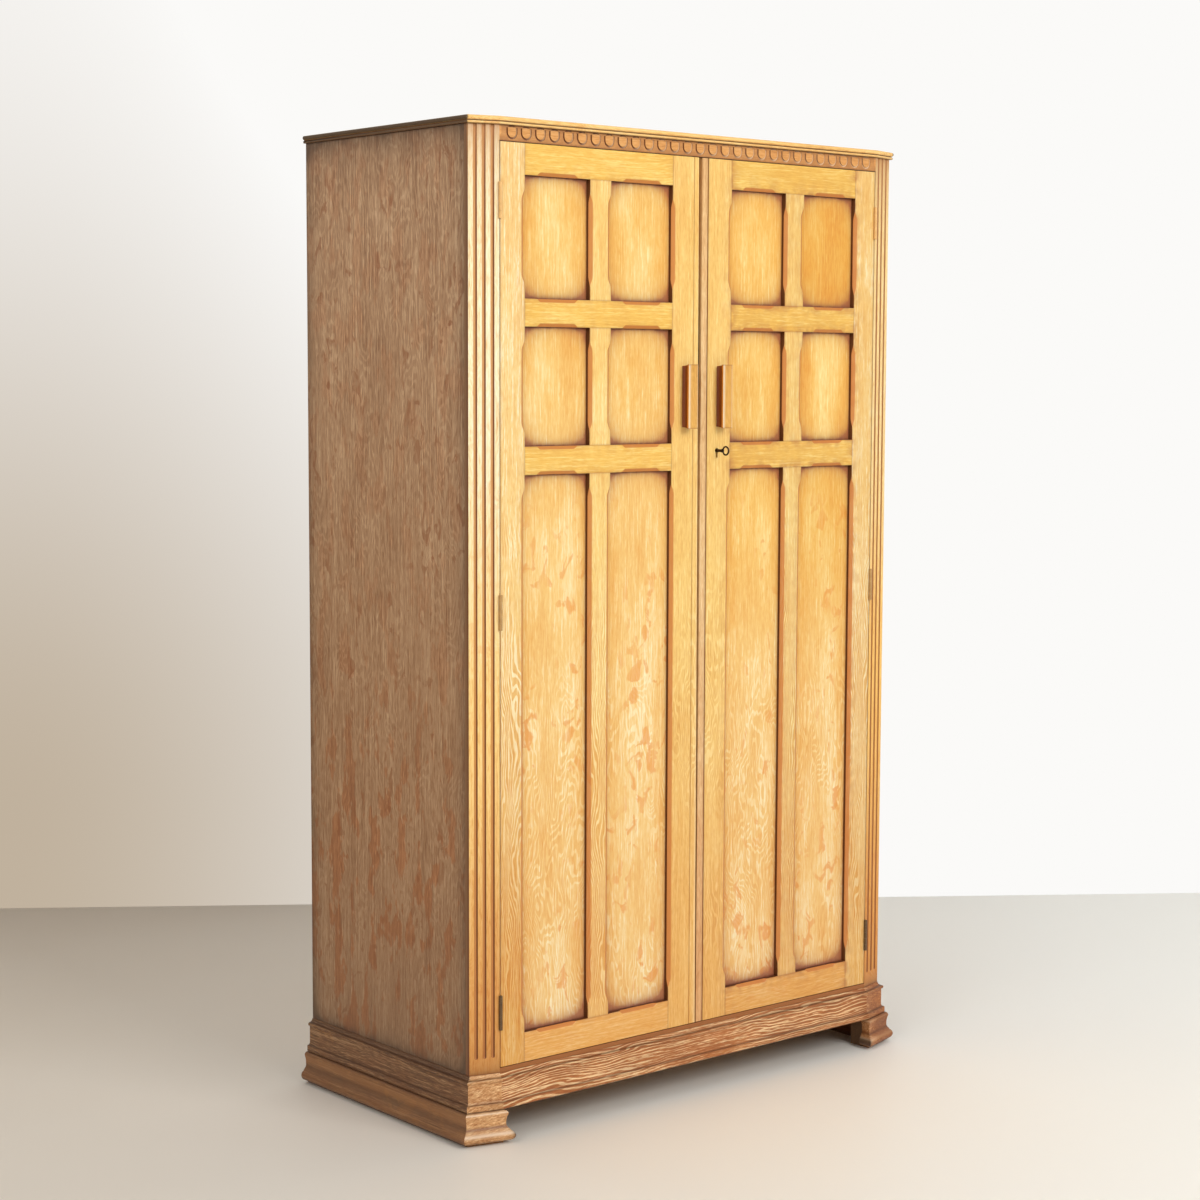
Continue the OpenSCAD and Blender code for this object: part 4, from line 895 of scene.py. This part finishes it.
class WARDROBE_OT_stage(bpy.types.Operator):
    """Makes the floor, the backdrop, the lamps and the camera"""
    bl_idname = "wardrobe.stage"
    bl_label = "Stage"

    def execute(self, context):
        self.ground()
        self.backdrop()
        self.lamps(context.scene)
        self.camera(context.scene)
        return {"FINISHED"}

    def sheet(self, name, width, depth, turn):
        """A flat sheet of the stage, placed by a matrix."""
        mesh = bmesh.new()
        bmesh.ops.create_grid(mesh, x_segments=1, y_segments=1, size=1)
        bmesh.ops.scale(mesh, vec=(width / 2, depth / 2, 1), verts=mesh.verts)
        bmesh.ops.transform(mesh, matrix=turn, verts=mesh.verts)
        data = bpy.data.meshes.new(name)
        mesh.to_mesh(data)
        mesh.free()
        made = link(bpy.data.objects.new(name, data))
        return made

    def ground(self):
        """A pale floor, with painted shade making it a little greyer at the left."""
        f = Finish("pale_floor")
        aside = f.x * 0.8 - f.y * 0.6
        cloud = f.noise(f.vector(f.x * 1.3, f.y * 1.3, 0.0), 3)
        tint = f.mix(aside.ramp(-1.8, 1.6), colour(227, 215, 198), settings().floor)
        tint = f.mix((cloud - 0.5) * 0.3 + 0.1, tint, colour(244, 242, 236))
        floor = self.sheet("floor", 24, 24, Matrix.Identity(4))
        give(floor, f.done(tint, 0.5, sheen=0.3))

    def backdrop(self):
        """A wall across the view, which can be seen only from the front. To the camera it glows in
        its own colour, with painted light making it brighter towards the right and the top.
        """
        f = Finish("plain_wall")
        aside = f.x * 0.8 - f.y * 0.6
        # Painted light: brighter towards the right and the top
        bright = (aside.ramp(-1.5, 0.6) + f.z.ramp(0.2, 2.6) * 0.9).held()
        tint = f.mix(bright, colour(192, 177, 157), settings().wall)
        seen = f.node("LightPath").outputs["Is Camera Ray"]
        shown = f.node("Emission", {}, {"Color": tint})
        body = f.node("BsdfPrincipled", {}, {"Base Color": tint, "Roughness": 0.8})
        face = f.node("MixShader", {}, {0: seen, 1: body.outputs[0], 2: shown.outputs[0]})
        clear = f.node("BsdfTransparent")
        behind = f.node("NewGeometry").outputs["Backfacing"]
        both = f.node("MixShader", {}, {0: behind, 1: face.outputs[0], 2: clear.outputs[0]})
        f.node("OutputMaterial", {}, {"Surface": both.outputs[0]})
        # Square to the way the camera looks, and far enough to meet the floor where it should
        width, height, distance = 24, 8, 1.461
        away = Vector((0.586, 0.810, 0))
        turn = Matrix((Vector((0.810, -0.586, 0)), Vector((0, 0, 1)), -away)).transposed().to_4x4()
        turn.translation = away * distance + Vector((0, 0, height / 2))
        wall = self.sheet("backdrop", width, height, turn)
        wall.visible_shadow = False
        give(wall, f.material)

    def lamps(self, scene):
        """Two soft lamps and even daylight, with white for all that is seen past the stage."""
        lamp("main_lamp", (0.4, -4.5, 3.2), (0.0, 0.0, 1.0), (2.2, 2.2), settings().key_light,
             (1.0, 0.99, 0.975))
        lamp("soft_lamp", (-4.6, -1.8, 3.4), (0.0, 0.0, 1.2), (3.0, 3.0), settings().soft_light)
        world = bpy.data.worlds.new("daylight")
        scene.world = world
        sky = Recipe(world)
        path = sky.node("LightPath").outputs
        seen = sky.sum("MAXIMUM", path["Is Camera Ray"], path["Is Glossy Ray"])
        light = sky.node("Background", {}, {"Color": (0.97, 0.985, 1, 1),
                                            "Strength": settings().daylight})
        white = sky.node("Background", {}, {"Color": (1, 1, 1, 1)})
        both = sky.node("MixShader", {}, {0: seen, 1: light.outputs[0], 2: white.outputs[0]})
        sky.node("OutputWorld", {}, {"Surface": both.outputs[0]})
        scene.view_settings.view_transform = "Standard"

    def camera(self, scene):
        """The photograph's camera, fitted to the straight edges of the carcass."""
        yaw, pitch, roll = 0.7009603, -0.0941536, 0.0035228
        place = (-3.0031046, -3.5184031, 1.3591856)
        sensor, lens = 36, 71.496
        ahead = Vector((math.sin(yaw) * math.cos(pitch), math.cos(yaw) * math.cos(pitch),
                        math.sin(pitch)))
        right = Vector((math.cos(yaw), -math.sin(yaw), 0))
        over = right.cross(ahead)
        right, over = (right * math.cos(roll) + over * math.sin(roll),
                       over * math.cos(roll) - right * math.sin(roll))
        data = bpy.data.cameras.new("camera")
        data.sensor_width = sensor
        data.lens = lens
        data.clip_end = 100
        made = link(bpy.data.objects.new("camera", data))
        made.matrix_world = Matrix((right, over, -ahead)).transposed().to_4x4()
        made.location = place
        scene.camera = made


PIECES = (WARDROBE_OT_doors, WARDROBE_OT_panels, WARDROBE_OT_pilasters, WARDROBE_OT_sides,
          WARDROBE_OT_top, WARDROBE_OT_plinth, WARDROBE_OT_handles, WARDROBE_OT_fittings,
          WARDROBE_OT_interior, WARDROBE_OT_stage)


class WARDROBE_PT_panel(bpy.types.Panel):
    """Lists the wardrobe's settings and pieces"""
    bl_idname = "WARDROBE_PT_panel"
    bl_label = "Wardrobe"
    bl_space_type = "VIEW_3D"
    bl_region_type = "UI"
    bl_category = "Wardrobe"

    def draw(self, context):
        for name in WardrobeSettings.__annotations__:
            self.layout.prop(context.scene.wardrobe, name)
        for piece in PIECES:
            self.layout.operator(piece.bl_idname)


def register():
    for kind in (WardrobeSettings, WARDROBE_PT_panel) + PIECES:
        bpy.utils.register_class(kind)
    bpy.types.Scene.wardrobe = PointerProperty(type=WardrobeSettings)


def unregister():
    del bpy.types.Scene.wardrobe
    for kind in (WardrobeSettings, WARDROBE_PT_panel) + PIECES:
        bpy.utils.unregister_class(kind)


def main():
    register()
    for piece in PIECES:
        group, name = piece.bl_idname.split(".")
        getattr(getattr(bpy.ops, group), name)()


if __name__ == "__main__":
    main()
